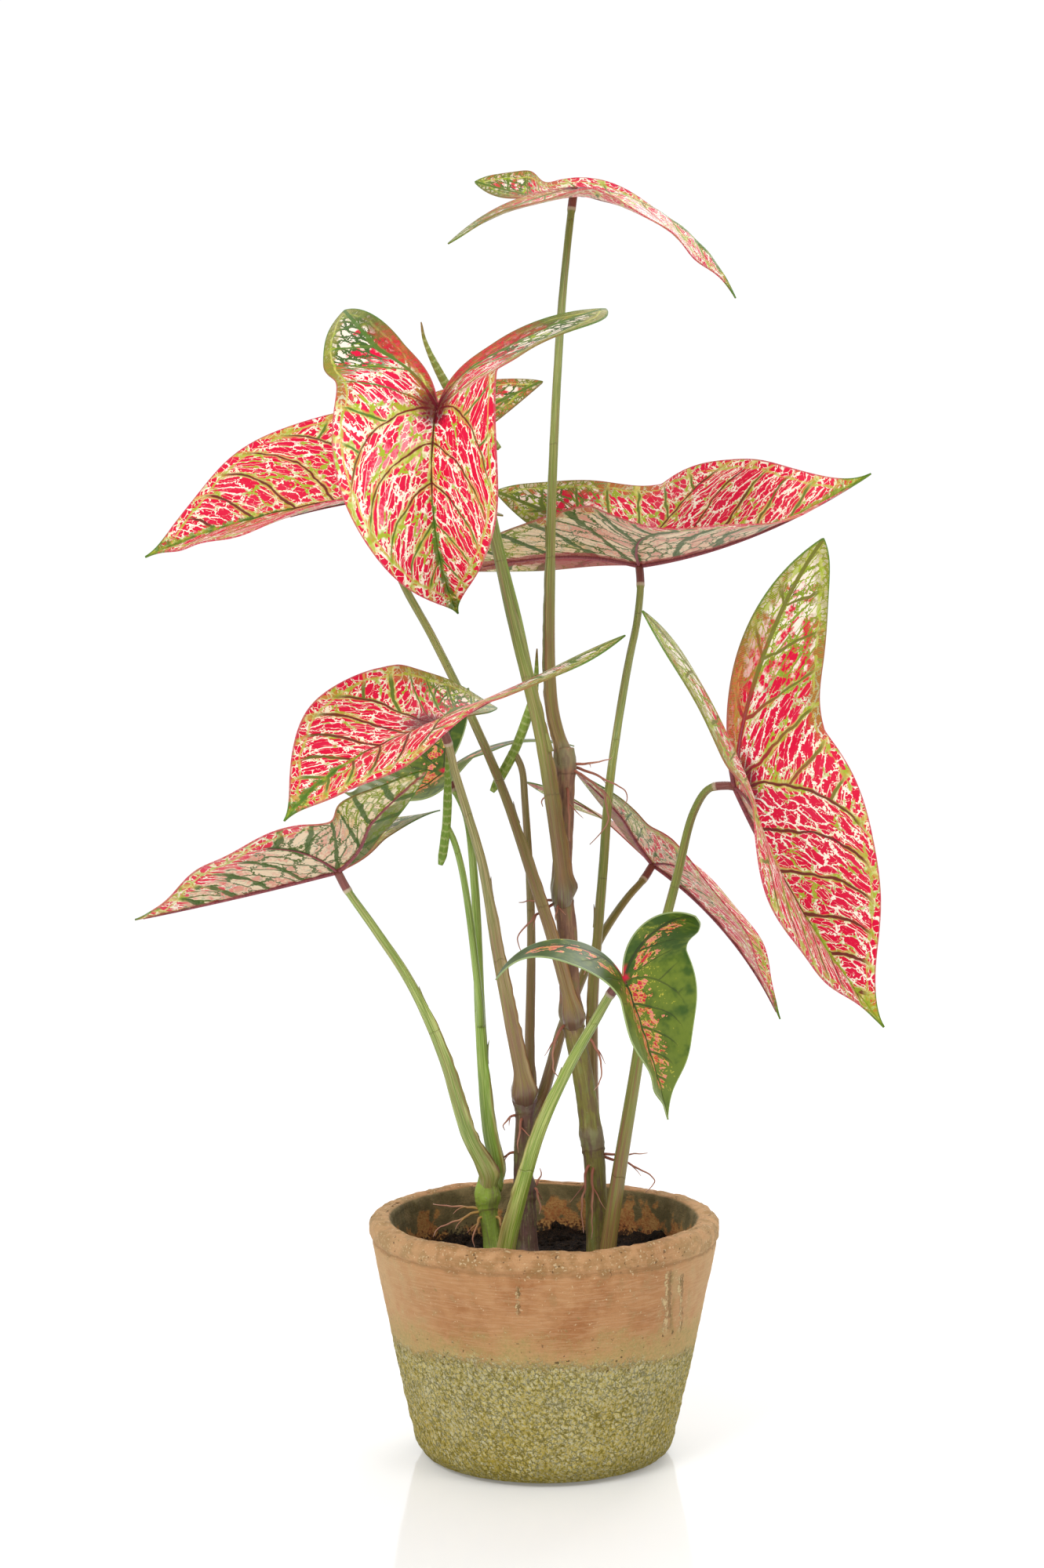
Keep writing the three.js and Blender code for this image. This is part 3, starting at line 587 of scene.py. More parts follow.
print("open edges of a single square:", len(open_edges(np.array([[0, 1, 2, 3]]))))


# %% [markdown]
# The flat blade is cut into rows and columns, its waves and the slight swelling between its veins are added, and
# both halves are bent. The columns crowd toward the midrib, because the fold is sharpest there.

# %% A closed sheet
BLADE_THICKNESS = 0.6
ROWS_IN_FRONT = 84
ROWS_IN_LOBE = 62
COLUMNS = 34
PUFF = 0.35  # the blade rises this much between its side veins
UNDERSIDE, RIB = 1.0, 2.0  # marks in the third number of the field "place"


def blade_sheet(leaf):
    """Middle surface of a blade: points around the hub, squares, and the vein fields of each point."""
    along = np.concatenate([
        np.linspace(0, FRONT_SHARE, ROWS_IN_FRONT + 1),
        np.linspace(FRONT_SHARE, 1, ROWS_IN_LOBE + 1)[1:],
    ])
    across = np.linspace(0, 1, COLUMNS + 1) ** 1.1
    rows, columns = np.meshgrid(along, across, indexing="ij")
    flat = flat_blade(rows, columns).reshape(-1, 2)
    fields = vein_fields(rows, columns, leaf["length"])
    halves = []
    for side in (1, -1):
        wave = margin_wave(leaf, rows, columns, side).ravel()
        puff = PUFF / leaf["length"] * np.sin(math.pi * fields["front"][:, 0]) ** 2
        puff = puff * smooth(fields["place"][:, 1], 0, 8) * smooth(fields["front"][:, 0], 0, 0.5)
        halves.append(bend_blade(leaf, flat, side, wave + puff))
    left = np.arange(len(flat)).reshape(rows.shape)
    right = left + len(flat)
    right[: ROWS_IN_FRONT + 1, 0] = left[: ROWS_IN_FRONT + 1, 0]
    faces = np.concatenate([grid_faces(left), grid_faces(right)[:, ::-1]])
    used, faces = np.unique(faces, return_inverse=True)
    points = np.concatenate(halves)[used]
    mirrored = {name: values * ((-1, 1, 1) if name == "half" else 1) for name, values in fields.items()}
    both = {name: np.concatenate([fields[name], mirrored[name]])[used] for name in fields}
    return points, faces.reshape(-1, 4), both


def thicken(points, faces, thickness):
    """Both sides of a sheet, moved along its normals, and the wall round its open edge."""
    normal = point_normals(points, faces)
    count = len(points)
    both = np.concatenate([points + normal * thickness / 2, points - normal * thickness / 2])
    edge = open_edges(faces)
    wall = np.stack([edge[:, 0], edge[:, 0] + count, edge[:, 1] + count, edge[:, 1]], axis=1)
    return both, np.concatenate([faces, faces[:, ::-1] + count, wall])


points, faces, fields = blade_sheet(LEAVES["b"])
print("one sheet:", points.shape, faces.shape, "open edges", len(open_edges(faces)))

# %% [markdown]
# ## Tubes along a path
#
# Stalks, canes, roots and the thick veins are all tubes. A path needs only a few points: a smooth curve is laid
# through them and cut into equal steps. Round each step goes a ring whose radius may change with the step and with
# the angle, which is how a stalk gets its sheath and a cane its knots.


# %% A smooth path
def smooth_path(points, count):
    """A curve through the points, as cubic pieces whose tangents weigh both neighbours by the square root of their
    distance, cut into equal steps. Returns its points and the length run at each."""
    p = np.array(points, dtype=float)
    p = np.vstack([2 * p[0] - p[1], p, 2 * p[-1] - p[-2]])
    step = np.sqrt(np.linalg.norm(np.diff(p, axis=0), axis=1))
    t = np.linspace(0, 1, 24, endpoint=False)[:, None]
    pieces = []
    for k in range(len(p) - 3):
        before, here, after = step[k : k + 3]
        a, b, c, d = p[k : k + 4]
        leave = ((b - a) / before - (c - a) / (before + here) + (c - b) / here) * here
        arrive = ((c - b) / here - (d - b) / (here + after) + (d - c) / after) * here
        cubic_piece = (2 * t**3 - 3 * t**2 + 1) * b + (t**3 - 2 * t**2 + t) * leave
        pieces.append(cubic_piece + (3 * t**2 - 2 * t**3) * c + (t**3 - t**2) * arrive)
    line = np.vstack(pieces + [p[-2:-1]])
    run = length_run(line)
    even = np.linspace(0, run[-1], count)
    return place_at(even, run, line), even


line, run = smooth_path([(0, 0, 0), (2, 0, 10), (0, 0, 20)], 9)
print("a short path runs", round(run[-1], 2), "mm")


# %% Rings and caps
def ring_axes(line):
    """Two directions square to the line at each of its points, from the world axis that it runs along least."""
    forward = unit(np.gradient(line, axis=0))
    least = np.eye(3)[np.abs(forward).max(0).argmin()]
    side = unit(least - (forward @ least)[:, None] * forward)
    return side, np.cross(forward, side)


def tube(line, run, radius, sides):
    """Rings round a line, closed by a point at each end. radius is a number for each ring, or for each ring and
    angle. Returns points, face arrays and the field (cosine, sine, length run), which has no seam."""
    side, other = ring_axes(line)
    angle = ring_angles(sides)
    radius = np.asarray(radius, dtype=float)
    radius = np.broadcast_to(radius[:, None] if radius.ndim == 1 else radius, (len(line), sides))
    rings = line[:, None] + radius[..., None] * (
        np.cos(angle)[None, :, None] * side[:, None] + np.sin(angle)[None, :, None] * other[:, None]
    )
    points = np.vstack([rings.reshape(-1, 3), line[:1], line[-1:]])
    turn = np.stack([np.cos(angle), np.sin(angle)], axis=1)
    field = np.concatenate([np.tile(turn, (len(line), 1)), np.repeat(run, sides)[:, None]], axis=1)
    field = np.vstack([field, [0, 0, run[0]], [0, 0, run[-1]]])
    return points, ring_faces(len(line), sides), field


def join(parts):
    """Several (points, face arrays, fields by name) as one: the point numbers of each follow on."""
    points, faces, fields, count = [], [], {}, 0
    for part_points, part_faces, part_fields in parts:
        points.append(part_points)
        faces += [face + count for face in part_faces]
        for name, values in part_fields.items():
            fields.setdefault(name, []).append(values)
        count += len(part_points)
    return np.vstack(points), faces, {name: np.vstack(values) for name, values in fields.items()}


print("a short tube has", len(tube(line, run, 0 * run + 1, 6)[0]), "points")

# %% [markdown]
# The ribs under a blade are such tubes. Their paths are drawn on the flat blade, and the same bending that shapes
# the sheet carries them along. Each is sunk by about a third of its radius, so that only its round back shows.

# %% Ribs under a blade
RIB_SIDES = 8
RIB_RINGS = 40


def blade_place(leaf, flat, side):
    """Points on the bent blade and the upward normals there, from two short steps along the flat blade."""
    step = 1e-3
    here = bend_blade(leaf, flat, side)
    ahead = bend_blade(leaf, flat + (step, 0), side) - here
    out = (bend_blade(leaf, flat + (0, step), side) - here) * side
    return here, unit(np.cross(ahead, out))


def rib_lines():
    """Flat paths of the ribs as (path, side, thickness): midrib, main vein and first side vein of both halves."""
    share = np.linspace(0, 1, RIB_RINGS)
    midrib = np.stack([0.005 + 0.955 * share, 0 * share], axis=1)
    down = 0.84 * share
    lobe = down[:, None] * LOBE_AXIS + (LOBE_BOW * np.sin(down / 0.95 * math.pi))[:, None] * LOBE_ACROSS
    along, across = np.meshgrid(np.linspace(0.2, FRONT_SHARE, 400), 0.8 * share, indexing="ij")
    on_vein = along[np.abs(side_vein_count(along, across)).argmin(0), 0]
    first = flat_blade(on_vein, 0.8 * share)
    lines = [(midrib, 0, 0.9)]
    for side in (1, -1):
        lines += [(lobe, side, 0.95), (first, side, 0.7)]
    return lines


def rib_tubes(leaf):
    """The ribs as tapered tubes, sunk by about a third of their radius into the underside."""
    tubes = []
    for path, side, thickness in rib_lines():
        if side == 0:
            here, left = blade_place(leaf, path, 1)
            normal = unit(left + blade_place(leaf, path, -1)[1])
        else:
            here, normal = blade_place(leaf, path, side)
        share = np.linspace(0, 1, len(path))
        radius = thickness * leaf["length"] / 100 * (0.22 + 0.78 * (1 - share) ** 0.8)
        line = here - normal * (BLADE_THICKNESS / 2 + 0.3 * radius)[:, None]
        run = share * leaf["length"]
        points, faces, field = tube(line, run, radius, RIB_SIDES)
        place = np.stack([field[:, 2], np.full(len(points), 20.0), np.full(len(points), RIB)], axis=1)
        blank = np.zeros_like(points)
        tubes.append((points, faces, {"front": blank, "lobe": blank, "place": place, "half": blank}))
    return tubes


print("ribs under each blade:", len(rib_lines()))

# %% [markdown]
# ## The colours of a blade
#
# The crimson cells lie in a cream net, and both follow the side veins. Cells around random points give such a net
# when their distance to the nearest edge is cut at a small value. The points are spread over the vein fields
# instead of the plain surface, so the cells stretch along the veins as they do on the leaf.

# %% Reading the fields in a material
LOBE_STRETCH = 2.4  # the cells of a lobe are this much longer than those in front
VEIN_WANDER = 0.28  # how far a side vein strays, as a share of the step between two of them
HALVES_APART = 31.0  # keeps the cells of the left half from mirroring those of the right
COARSE_GRAIN = ((0.06, 2.0), (0.22, 2.0), (0.9, 2.0))  # scale and detail of cloud, patch and speckle


def read_fields(finish, length, seed, grain):
    """The wires that the blade's colours are worked out from: the vein fields, the distances made from them, and
    three noises, cloud from 0 to 1, patch and speckle around 0."""
    front_count, front_step, from_midrib = finish.attribute("front").parts()
    lobe_count, lobe_step, from_lobe_vein = finish.attribute("lobe").parts()
    ahead, margin, mark = finish.attribute("place").parts()
    half, run, _ = finish.attribute("half").parts()
    flat = finish.vector(ahead, from_midrib * half, seed)
    wander = finish.noise(flat, 0.09, 2.0) - 0.5
    front_count = front_count + wander * VEIN_WANDER
    lobe_count = lobe_count + wander * VEIN_WANDER
    in_front = front_count.math("GREATER_THAN", -0.03)
    side_front = front_count.from_whole() * front_step
    side_lobe = lobe_count.from_whole() * lobe_step
    front_run, lobe_run = front_count * (length * SIDE_VEIN_STEP), lobe_count * (length * LOBE_VEIN_STEP)
    cloud, patch, speckle = (finish.noise(flat, scale, detail) for scale, detail in grain)
    return SimpleNamespace(
        ahead=ahead, margin=margin, run=run, half=half, wander=wander,
        frayed=finish.noise(flat, 0.8, 1.0) - 0.5,
        cloud=cloud, patch=patch - 0.5, speckle=speckle - 0.5, in_front=in_front,
        across=in_front * front_run + (1 - in_front) * from_lobe_vein + half * HALVES_APART,
        out=in_front * from_midrib + (1 - in_front) * lobe_run / LOBE_STRETCH,
        from_midrib=from_midrib, from_lobe_vein=from_lobe_vein,
        to_side_vein=(in_front * side_front + (1 - in_front) * side_lobe).least(abs(front_count) * front_step),
        to_main_vein=(from_midrib + (0 - ahead).most(0) * 3).least(abs(from_lobe_vein) + ahead.most(0) * 3),
        from_hub=(ahead * ahead + from_midrib * from_midrib).math("SQRT"),
        under=mark.rises(0.3, 0.7), rib=mark.rises(1.3, 1.7),
    )


print("a side vein strays by up to", round(0.5 * VEIN_WANDER * SIDE_VEIN_STEP * LEAVES["b"]["length"], 1), "mm")

# %% A net of cells between the veins
MARGIN_BAND = 3.6  # in this band inside the margin the cells turn to lie across it


def net_of(finish, f, width, height, seed):
    """Cells stretched along the veins, and across the margin in a band inside it: the distance to the nearest cell
    edge and the cell's own random number."""
    frayed = f.frayed * 0.5
    inside = finish.vector(f.across / width + f.wander * 0.8 + frayed, f.out / height + seed + frayed)
    band = finish.vector(f.run / width + f.half * 50 + frayed, f.margin / height + seed)
    in_band = (f.margin + f.wander * 6).math("LESS_THAN", MARGIN_BAND)
    place = finish.node("Mix", {"data_type": "VECTOR"}, {0: in_band, 4: inside, 5: band}, 1)
    edge = finish.cells(place, "DISTANCE_TO_EDGE", "Distance")
    chance = finish.cells(place, "F1", "Color").parts()[0]
    return edge, chance


print("cells lie across the margin up to", MARGIN_BAND, "mm inside it")

# %% [markdown]
# On a crimson leaf a fine net lies inside a coarse one. Both run from cream to straw and lime, and to olive in the
# lobes, where the cells turn pink and cream. The paler half and the greener lobes of a leaf are two of the traits
# that each leaf gets in the table further down.

# %% Cells and net of a crimson leaf
CRIMSON, ROSE, BLUSH, CREAM, STRAW = "#DE043A", "#E03C62", "#F2AEB4", "#FFF5E2", "#DED674"
LIME, LEAF_GREEN, OLIVE, MOSS_GREEN, VEIN_GREEN = "#A5B630", "#4F7A27", "#5F702A", "#46622A", "#557628"
MAROON, DEEP_RED, RIB_ROSE = "#5E101C", "#A00C2C", "#A45A5C"
FINE_CELL, COARSE_CELL = (3.0, 3.0), (5.4, 6.6)  # across the side veins and along them, in millimetres


def crimson_shares(f, length, traits):
    """Adds how pale a point is and how far it belongs to a lobe, both cut to the range from 0 to 1."""
    left = f.half.rises(-0.1, 0.1)
    pale = f.cloud * 1.8 - 1.0 + f.from_hub.rises(42, 0) * 0.25
    f.paleness = (pale + left * traits["pale"][0] + (1 - left) * traits["pale"][1]).clipped()
    f.lobe = ((0 - f.ahead + (f.cloud - 0.5) * 50) / length * 1.3 * traits["lobe_green"]).clipped()


def crimson_net(finish, f, yellow, seed):
    """Cells and net of both sides of a leaf. Small cells merge into larger ones where the fine net grows thin.
    Returns the colour, the net and each cell's tone."""
    fine_edge, chance = net_of(finish, f, *FINE_CELL, seed)
    coarse_edge, group = net_of(finish, f, *COARSE_CELL, seed + 7.0)
    beside = f.to_side_vein.least(f.to_main_vein).rises(5, 1)
    width = 0.008 + f.paleness * 0.07 + beside * 0.04 + f.lobe * (0.12 - 0.07 * yellow)
    fine = (width + f.patch * 0.2 + f.speckle * 0.07 - fine_edge).rises(-0.016, 0.016)
    width = 0.07 + f.paleness * 0.03 + f.patch * 0.1 + f.speckle * 0.07
    coarse = (width - coarse_edge).rises(-0.012, 0.012)
    tone = chance * 0.5 + group * 0.5
    rosy = (tone.rises(0.45, 0.9) * 0.2 + f.paleness * 0.45 + f.speckle * 0.3).least(1.0)
    blushing = (f.paleness + tone * 0.8 + f.speckle * 0.8 - 0.95).rises(0.0, 0.4)
    creamy = (f.lobe * 0.9 + tone * 0.6 + f.patch * 1.5 + f.speckle * 0.4).rises(0.7, 1.0)
    cell = finish.layers(CRIMSON, (rosy, ROSE), (blushing * 0.55, BLUSH), (creamy * 0.92, CREAM))
    straw = (f.to_side_vein.rises(4.0, 1.0) * 0.4 + (f.cloud - 0.5) * 1.2 + f.patch).clipped()
    olive = finish.mix((f.cloud + f.patch + yellow * 0.35).rises(0.6, 0.85), MOSS_GREEN, LIME)
    thread = finish.layers(CREAM, (straw, STRAW), (f.lobe.rises(0.2, 0.5), olive))
    limy = (f.cloud + f.patch * 1.5 + f.lobe * 0.2).rises(0.50, 0.75)
    lobe_thread = finish.mix(0.6 * yellow, MOSS_GREEN, LIME)
    thick_thread = finish.layers(thread, (limy, LIME), (f.lobe.rises(0.2, 0.6), lobe_thread))
    colour = finish.layers(cell, (fine, thread), (coarse, thick_thread))
    return colour, (fine * 0.6).most(coarse), tone


print("fine cells:", FINE_CELL, "mm, coarse cells:", COARSE_CELL, "mm")

# %% [markdown]
# The veins lie over the net. They have lime borders of uneven width, and a broken lime line runs inside the margin.
# On the upper side the veins are maroon round the hub and green beyond, the midrib feathers out into green toward
# the tip, and the strip between a lobe's main vein and the notch is red.


# %% Veins of a crimson leaf
def crimson_veins(f, length, bold):
    """Adds the half widths of side and main veins, which narrow outwards, and the veins' own share of a point."""
    thick = length / 92
    side = (0.4 - f.out.most(0) * 0.004) * thick + bold
    main = (0.8 - abs(f.ahead) * 0.005) * thick + bold
    f.side_width = side + f.patch * 0.5 + f.speckle * 0.25 + f.lobe * 0.2
    f.main_width = main + f.speckle * 0.4 + f.lobe * 0.3
    core = (f.side_width - f.to_side_vein).rises(-0.2, 0.2) * f.margin.rises(2.0, 7.0)
    f.core = core.most((f.main_width - f.to_main_vein).rises(-0.2, 0.2))
    inner = (0 - f.from_lobe_vein + f.cloud * 8 - 4 + f.patch * 4).rises(0.3, 2.0)
    f.inner = inner * f.ahead.rises(2, -2)
    f.tip = (f.ahead / length + f.speckle * 0.2).rises(0.86, 0.93)


def crimson_borders(finish, f, colour, traits):
    """The olive hatch along the margin of a lobe, the borders beside the veins and the line inside the margin."""
    yellow = traits["yellow"]
    hatch = (f.margin + f.patch * 16).rises(9, 2) * (0 - f.ahead + f.cloud * 16).rises(-2, 16)
    stripe = finish.mix((f.run * 1.4 + f.wander * 3).from_whole().rises(0.1, 0.4), OLIVE, "#B3A438")
    uneven = (f.cloud - 0.5) * 4.0 + f.patch * 2
    border = (f.side_width + 0.4 + uneven - f.to_side_vein).rises(-0.35, 0.35)
    border = border.most((f.main_width + 0.5 + uneven - f.to_main_vein).rises(-0.35, 0.35))
    border = border * (1 - f.lobe.rises(0.2, 0.5) * 0.6) * (0.65 + 0.25 * yellow + f.paleness * 0.35).least(1.0)
    from_line = abs(f.margin - 4.0 - f.wander * 4)
    line = (0.45 + f.patch * (1 + 4 * yellow) - from_line).rises(-0.3, 0.3)
    border_colour = finish.mix((f.patch + 0.5).rises(0.3, 0.7), STRAW, LIME)
    hatched = hatch * traits["lobe_green"] * 0.65
    return finish.layers(colour, (hatched, stripe), (border.most(line) * 0.8, border_colour))


# %% [markdown]
# Over these lie the marks that only the upper side has. Each is a share between 0 and 1 that says where its colour
# shows, and the coats go on in the order in which they cover one another: the veins first, the maroon hub last.


# %% Upper side of a crimson leaf
def crimson_top(finish, f, colour, length, traits):
    """The upper side: veins, feathered midrib and green tip, red strip, and red rays and maroon round the hub."""
    yellow, hub = traits["yellow"], traits["hub"]
    reach = traits["red_reach"] * (0.25 + 0.75 * f.in_front)
    green_vein = finish.mix(0.6 * yellow, VEIN_GREEN, "#86722A")
    red_vein = finish.mix(f.in_front, DEEP_RED, "#6E161E")
    vein = finish.mix((f.from_hub + f.cloud * 30 - 15 - reach).rises(12, -12), green_vein, red_vein)
    feather = f.ahead.rises(length * 0.3, length * 0.65) * (2.6 - yellow) - 0.4
    feather = (feather + f.speckle * 5 + f.patch * 6 - f.from_midrib).rises(-0.4, 0.4).most(f.tip)
    feather_colour = finish.mix((f.cloud + f.patch - yellow * 0.4).rises(0.2, 0.5), LIME, LEAF_GREEN)
    strip = f.inner * f.ahead.rises(-78, -50) * (traits["inner_red"] + (f.patch + f.speckle) * 0.9).clipped()
    strip_red = finish.mix((f.speckle + 0.5).rises(0.3, 0.7), DEEP_RED, CRIMSON)
    strip_colour = finish.mix((f.ahead / length + f.patch * 0.3).rises(-0.62, -0.36), MOSS_GREEN, strip_red)
    ray = f.from_hub.rises(26, 6) * (f.speckle * 1.4 + f.patch * 1.2 + 0.55).rises(0.45, 0.7)
    ray = ray * f.ahead.rises(8, -4)
    return finish.layers(
        colour,
        (f.core * 0.96, vein),
        (feather * 0.85, feather_colour),
        (strip * 0.9, strip_colour),
        (ray * 0.8, DEEP_RED),
        ((f.from_hub + f.speckle * 8 + f.patch * 6).rises(hub, hub * 0.4) * 0.9, MAROON),
    )


# %% [markdown]
# The underside is duller. Round the hub and in the lobes its cells are cream in a green net, and broad green shadows
# lie along the side veins; farther out the crimson shows through. Both sides are mixed by the mark that every point
# of the mesh carries, so that one material serves the whole blade.


# %% Underside of a crimson leaf
def crimson_underside(finish, f, colour, net, tone, traits):
    """Cells, net, vein shadows, the rosy flush beside the main veins, and the magenta strip inside a lobe's vein."""
    green = f.from_hub.rises(60, 15) * 0.5 + f.lobe * 0.9 + (f.cloud - 0.5) * 1.0 + f.patch + traits["under_green"]
    green = green - f.margin.rises(9, 3) * 0.4
    net_colour = finish.mix((f.patch + f.speckle + 0.5).rises(0.4, 0.8), "#5C6A34", "#3E5A26")
    net_colour = finish.mix(f.lobe.rises(0.25, 0.6) * 0.55, net_colour, LIME)
    flush = finish.mix(f.lobe.rises(0.15, 0.4), "#DFA68E", "#DDC88C")
    cell_colour = finish.mix((tone + f.speckle).rises(0.3, 0.8), "#F0E4C0", flush)
    shadow = (f.side_width + 0.1 + traits["under_green"] * 1.1 + f.patch * 2.4 - f.to_side_vein).rises(-0.3, 0.3)
    near_rib = (0.8 + traits["inner_red"] * 3 + f.patch * 4 - f.to_main_vein).rises(-0.6, 0.6)
    strip_red = (traits["inner_red"] * 1.4 + (f.speckle + f.patch) * 0.6).clipped()
    strip_colour = finish.mix(strip_red, MOSS_GREEN, finish.mix(0.25, DEEP_RED, RIB_ROSE))
    return finish.layers(
        colour,
        (0.06, "#E3BDB0"),
        (green.rises(0.35, 0.55) * net * 0.92, net_colour),
        (green.rises(0.3, 0.6) * (1 - net) * 0.85, cell_colour),
        (shadow * green.rises(0.1, 0.5) * 0.9, MOSS_GREEN),
        (near_rib * 0.8, finish.mix((f.speckle + 0.5).rises(0.2, 0.8), RIB_ROSE, DEEP_RED)),
        (f.inner * f.ahead.rises(-72, -40) * (0.85 - 0.3 * net), strip_colour),
    )


def crimson_blade(name, length, seed, traits):
    """The whole finish of a crimson blade. The veins are low grooves above and low ridges below."""
    finish = Finish(name, {"Roughness": 0.42, "Specular IOR Level": 0.14})
    f = read_fields(finish, length, seed, COARSE_GRAIN)
    crimson_shares(f, length, traits)
    crimson_veins(f, length, traits["bold"])
    colour, net, tone = crimson_net(finish, f, traits["yellow"], seed)
    colour = crimson_borders(finish, f, colour, traits)
    above = crimson_top(finish, f, colour, length, traits)
    below = crimson_underside(finish, f, colour, net, tone, traits)
    rim_colour = finish.mix(f.lobe.most(f.tip), "#C4525C", LEAF_GREEN)
    rib_colour = finish.mix((f.speckle + 0.5).rises(0.2, 0.8), RIB_ROSE, "#7A424C")
    colour = finish.layers(above, (f.under, below), (f.margin.rises(0.8, 0.3) * 0.8, rim_colour), (f.rib, rib_colour))
    height = (f.core + net * 0.25) * (f.under * 2 - 1) + tone * 0.12
    return finish.done(Base_Color=colour, Normal=finish.bump(height, 0.0003, 0.6))


# %% Crimson leaves
# pale: paleness of the left and the right half. lobe_green: how green the lobes are. red_reach: how far from the hub
# the veins are maroon, in mm. under_green: how green the underside is. inner_red: how red the strip inside a lobe's
# main vein is. yellow: how yellow the greens are. bold: what the veins are wider by. hub: the maroon round the hub.
TRAITS = ("pale", "lobe_green", "red_reach", "under_green", "inner_red", "yellow", "bold", "hub")
CRIMSON_LEAVES = {
    "a": ((0.4, 0.4), 0.8, 40, 0.1, 0.3, 0.2, 0.0, 8), "b": ((-0.6, 0.4), 1.4, 45, 0.2, 0.8, 0.0, 0.0, 12),
    "c": ((-0.1, 0.0), 0.7, 120, 0.1, 0.4, 0.2, 0.1, 12), "d": ((0.25, 0.35), 0.9, 60, 0.65, 0.9, 0.4, 0.15, 12),
    "e": ((0.0, 0.3), 1.1, 150, 0.0, 0.5, 1.0, 0.2, 17), "f": ((0.2, 0.2), 1.1, 20, 0.0, 0.5, 0.0, 0.0, 8),
    "g": ((-0.1, 0.1), 1.2, 50, 0.1, 0.4, 0.2, 0.35, 20), "i": ((0.5, 0.6), 1.2, 20, 0.45, 0.0, 0.0, 0.15, 8),
}


def add_blade(name, leaf, material):
    """One blade: the thickened sheet and the ribs below it, standing at its hub."""
    sheet, faces, fields = blade_sheet(leaf)
    points, faces = thicken(sheet, faces, BLADE_THICKNESS)
    fields = {key: np.concatenate([values, values]) for key, values in fields.items()}
    fields["place"][len(sheet) :, 2] = UNDERSIDE
    points, faces, fields = join([(points, [faces], fields), *rib_tubes(leaf)])
    add_piece(f"blade_{name}", stand_blade(leaf, points), faces, [f"leaf_{name}"], material, fields, 50)


for number, (letter, traits) in enumerate(CRIMSON_LEAVES.items()):
    leaf = LEAVES[letter]
    skin = crimson_blade(f"crimson_{letter}", leaf["length"], 3.7 * number, dict(zip(TRAITS, traits)))
    add_blade(letter, leaf, skin)

# %% [markdown]
# The two youngest open leaves are still green. They have the same veins and the same net, but the net shows only in
# spots beside the veins: pink cells with yellow edges.

# %% The green leaf
GREEN_TOP, GREEN_DEEP, VEIN_DARK = "#6C7E28", "#3C581A", "#333C1C"
SPOT_PINK, SPOT_RED, SPOT_YELLOW = "#F0847E", "#D3203F", "#E2D050"
SPOT_CELL = (1.3, 2.0)
FINE_GRAIN = ((0.07, 3.0), (0.28, 2.0), (1.1, 2.0))


def green_blade(name, length, seed):
    """Green with dark veins, a pale line round the margin, and groups of pink cells near the hub and the midrib."""
    finish = Finish(name, {"Roughness": 0.42, "Specular IOR Level": 0.22})
    f = read_fields(finish, length, seed, FINE_GRAIN)
    edge, chance = net_of(finish, f, *SPOT_CELL, seed)
    near = (f.to_main_vein + abs(f.ahead - 8) * 0.09 + f.patch * 34).rises(15, 2) * f.margin.rises(3, 7)
    near = near * f.to_side_vein.rises(0.3, 0.8) * f.to_main_vein.rises(0.5, 1.1)
    shown = (near * 1.1 + chance * 0.7 + f.speckle * 0.9 - 1.08).rises(0.0, 0.08)
    cell = finish.mix((chance * 1.2 + f.speckle * 2.0 - near * 0.4).rises(0.25, 0.7), SPOT_RED, SPOT_PINK)
    cell_edge = (0.10 - edge + f.speckle * 0.14).rises(-0.03, 0.03)
    cell = finish.mix(cell_edge.most(shown.rises(0.95, 0.5)) * 0.75, cell, SPOT_YELLOW)
    fleck = (f.speckle + f.patch * 0.9 + (f.cloud - 0.5) * 0.5).rises(0.28, 0.34) * f.from_midrib.rises(26, 10)
    main = (0.75 - abs(f.ahead) * 0.008 + f.speckle * 0.3 - f.to_main_vein).rises(-0.15, 0.15)
    side = (0.28 + f.speckle * 0.3 - f.to_side_vein).rises(-0.15, 0.15) * f.margin.rises(3, 9)
    notch = (0 - f.from_lobe_vein).rises(0.2, 1.2) * f.from_hub.rises(9, 5)
    notch = (f.from_hub + f.speckle * 3).rises(4.0, 1.5).most(notch) * f.ahead.rises(1.5, -0.5)
    above = finish.layers(
        GREEN_DEEP,
        ((f.cloud + f.patch * 0.5 + f.ahead * 0.004).rises(0.35, 0.7), GREEN_TOP),
        (shown * 0.92, cell),
        (fleck * 0.6, SPOT_YELLOW),
        (main.most(side * 0.7) * 0.8, VEIN_DARK),
        (notch, SPOT_RED),
        (f.margin.rises(0.45, 0.25) * 0.6, "#B9C78E"),
    )
    rib_colour = finish.mix((f.speckle + 0.5).rises(0.2, 0.8), "#7E9A4A", "#8A5A4A")
    colour = finish.layers(above, (f.under, finish.mix(0.35, above, "#7D9A54")), (f.rib, rib_colour))
    height = (main + side * 0.6) * (f.under * 2 - 1) + f.cloud * 0.6
    return finish.done(Base_Color=colour, Normal=finish.bump(height, 0.0004, 0.6))


for number, letter in enumerate(("h", "j")):
    leaf = LEAVES[letter]
    add_blade(letter, leaf, green_blade(f"green_{letter}", leaf["length"], 5.3 + 8 * number))

# %% [markdown]
# ## Stalks
#
# A caladium stalk is a smooth green rod with fine ribs along it, browner at its foot. Its foot is wrapped in a
# sheath, two thin flaps that end in a free tip part of the way up, and right under the blade sits a short reddish
# joint with a pale ring below it. One ring radius as a function of length and angle gives all of that.

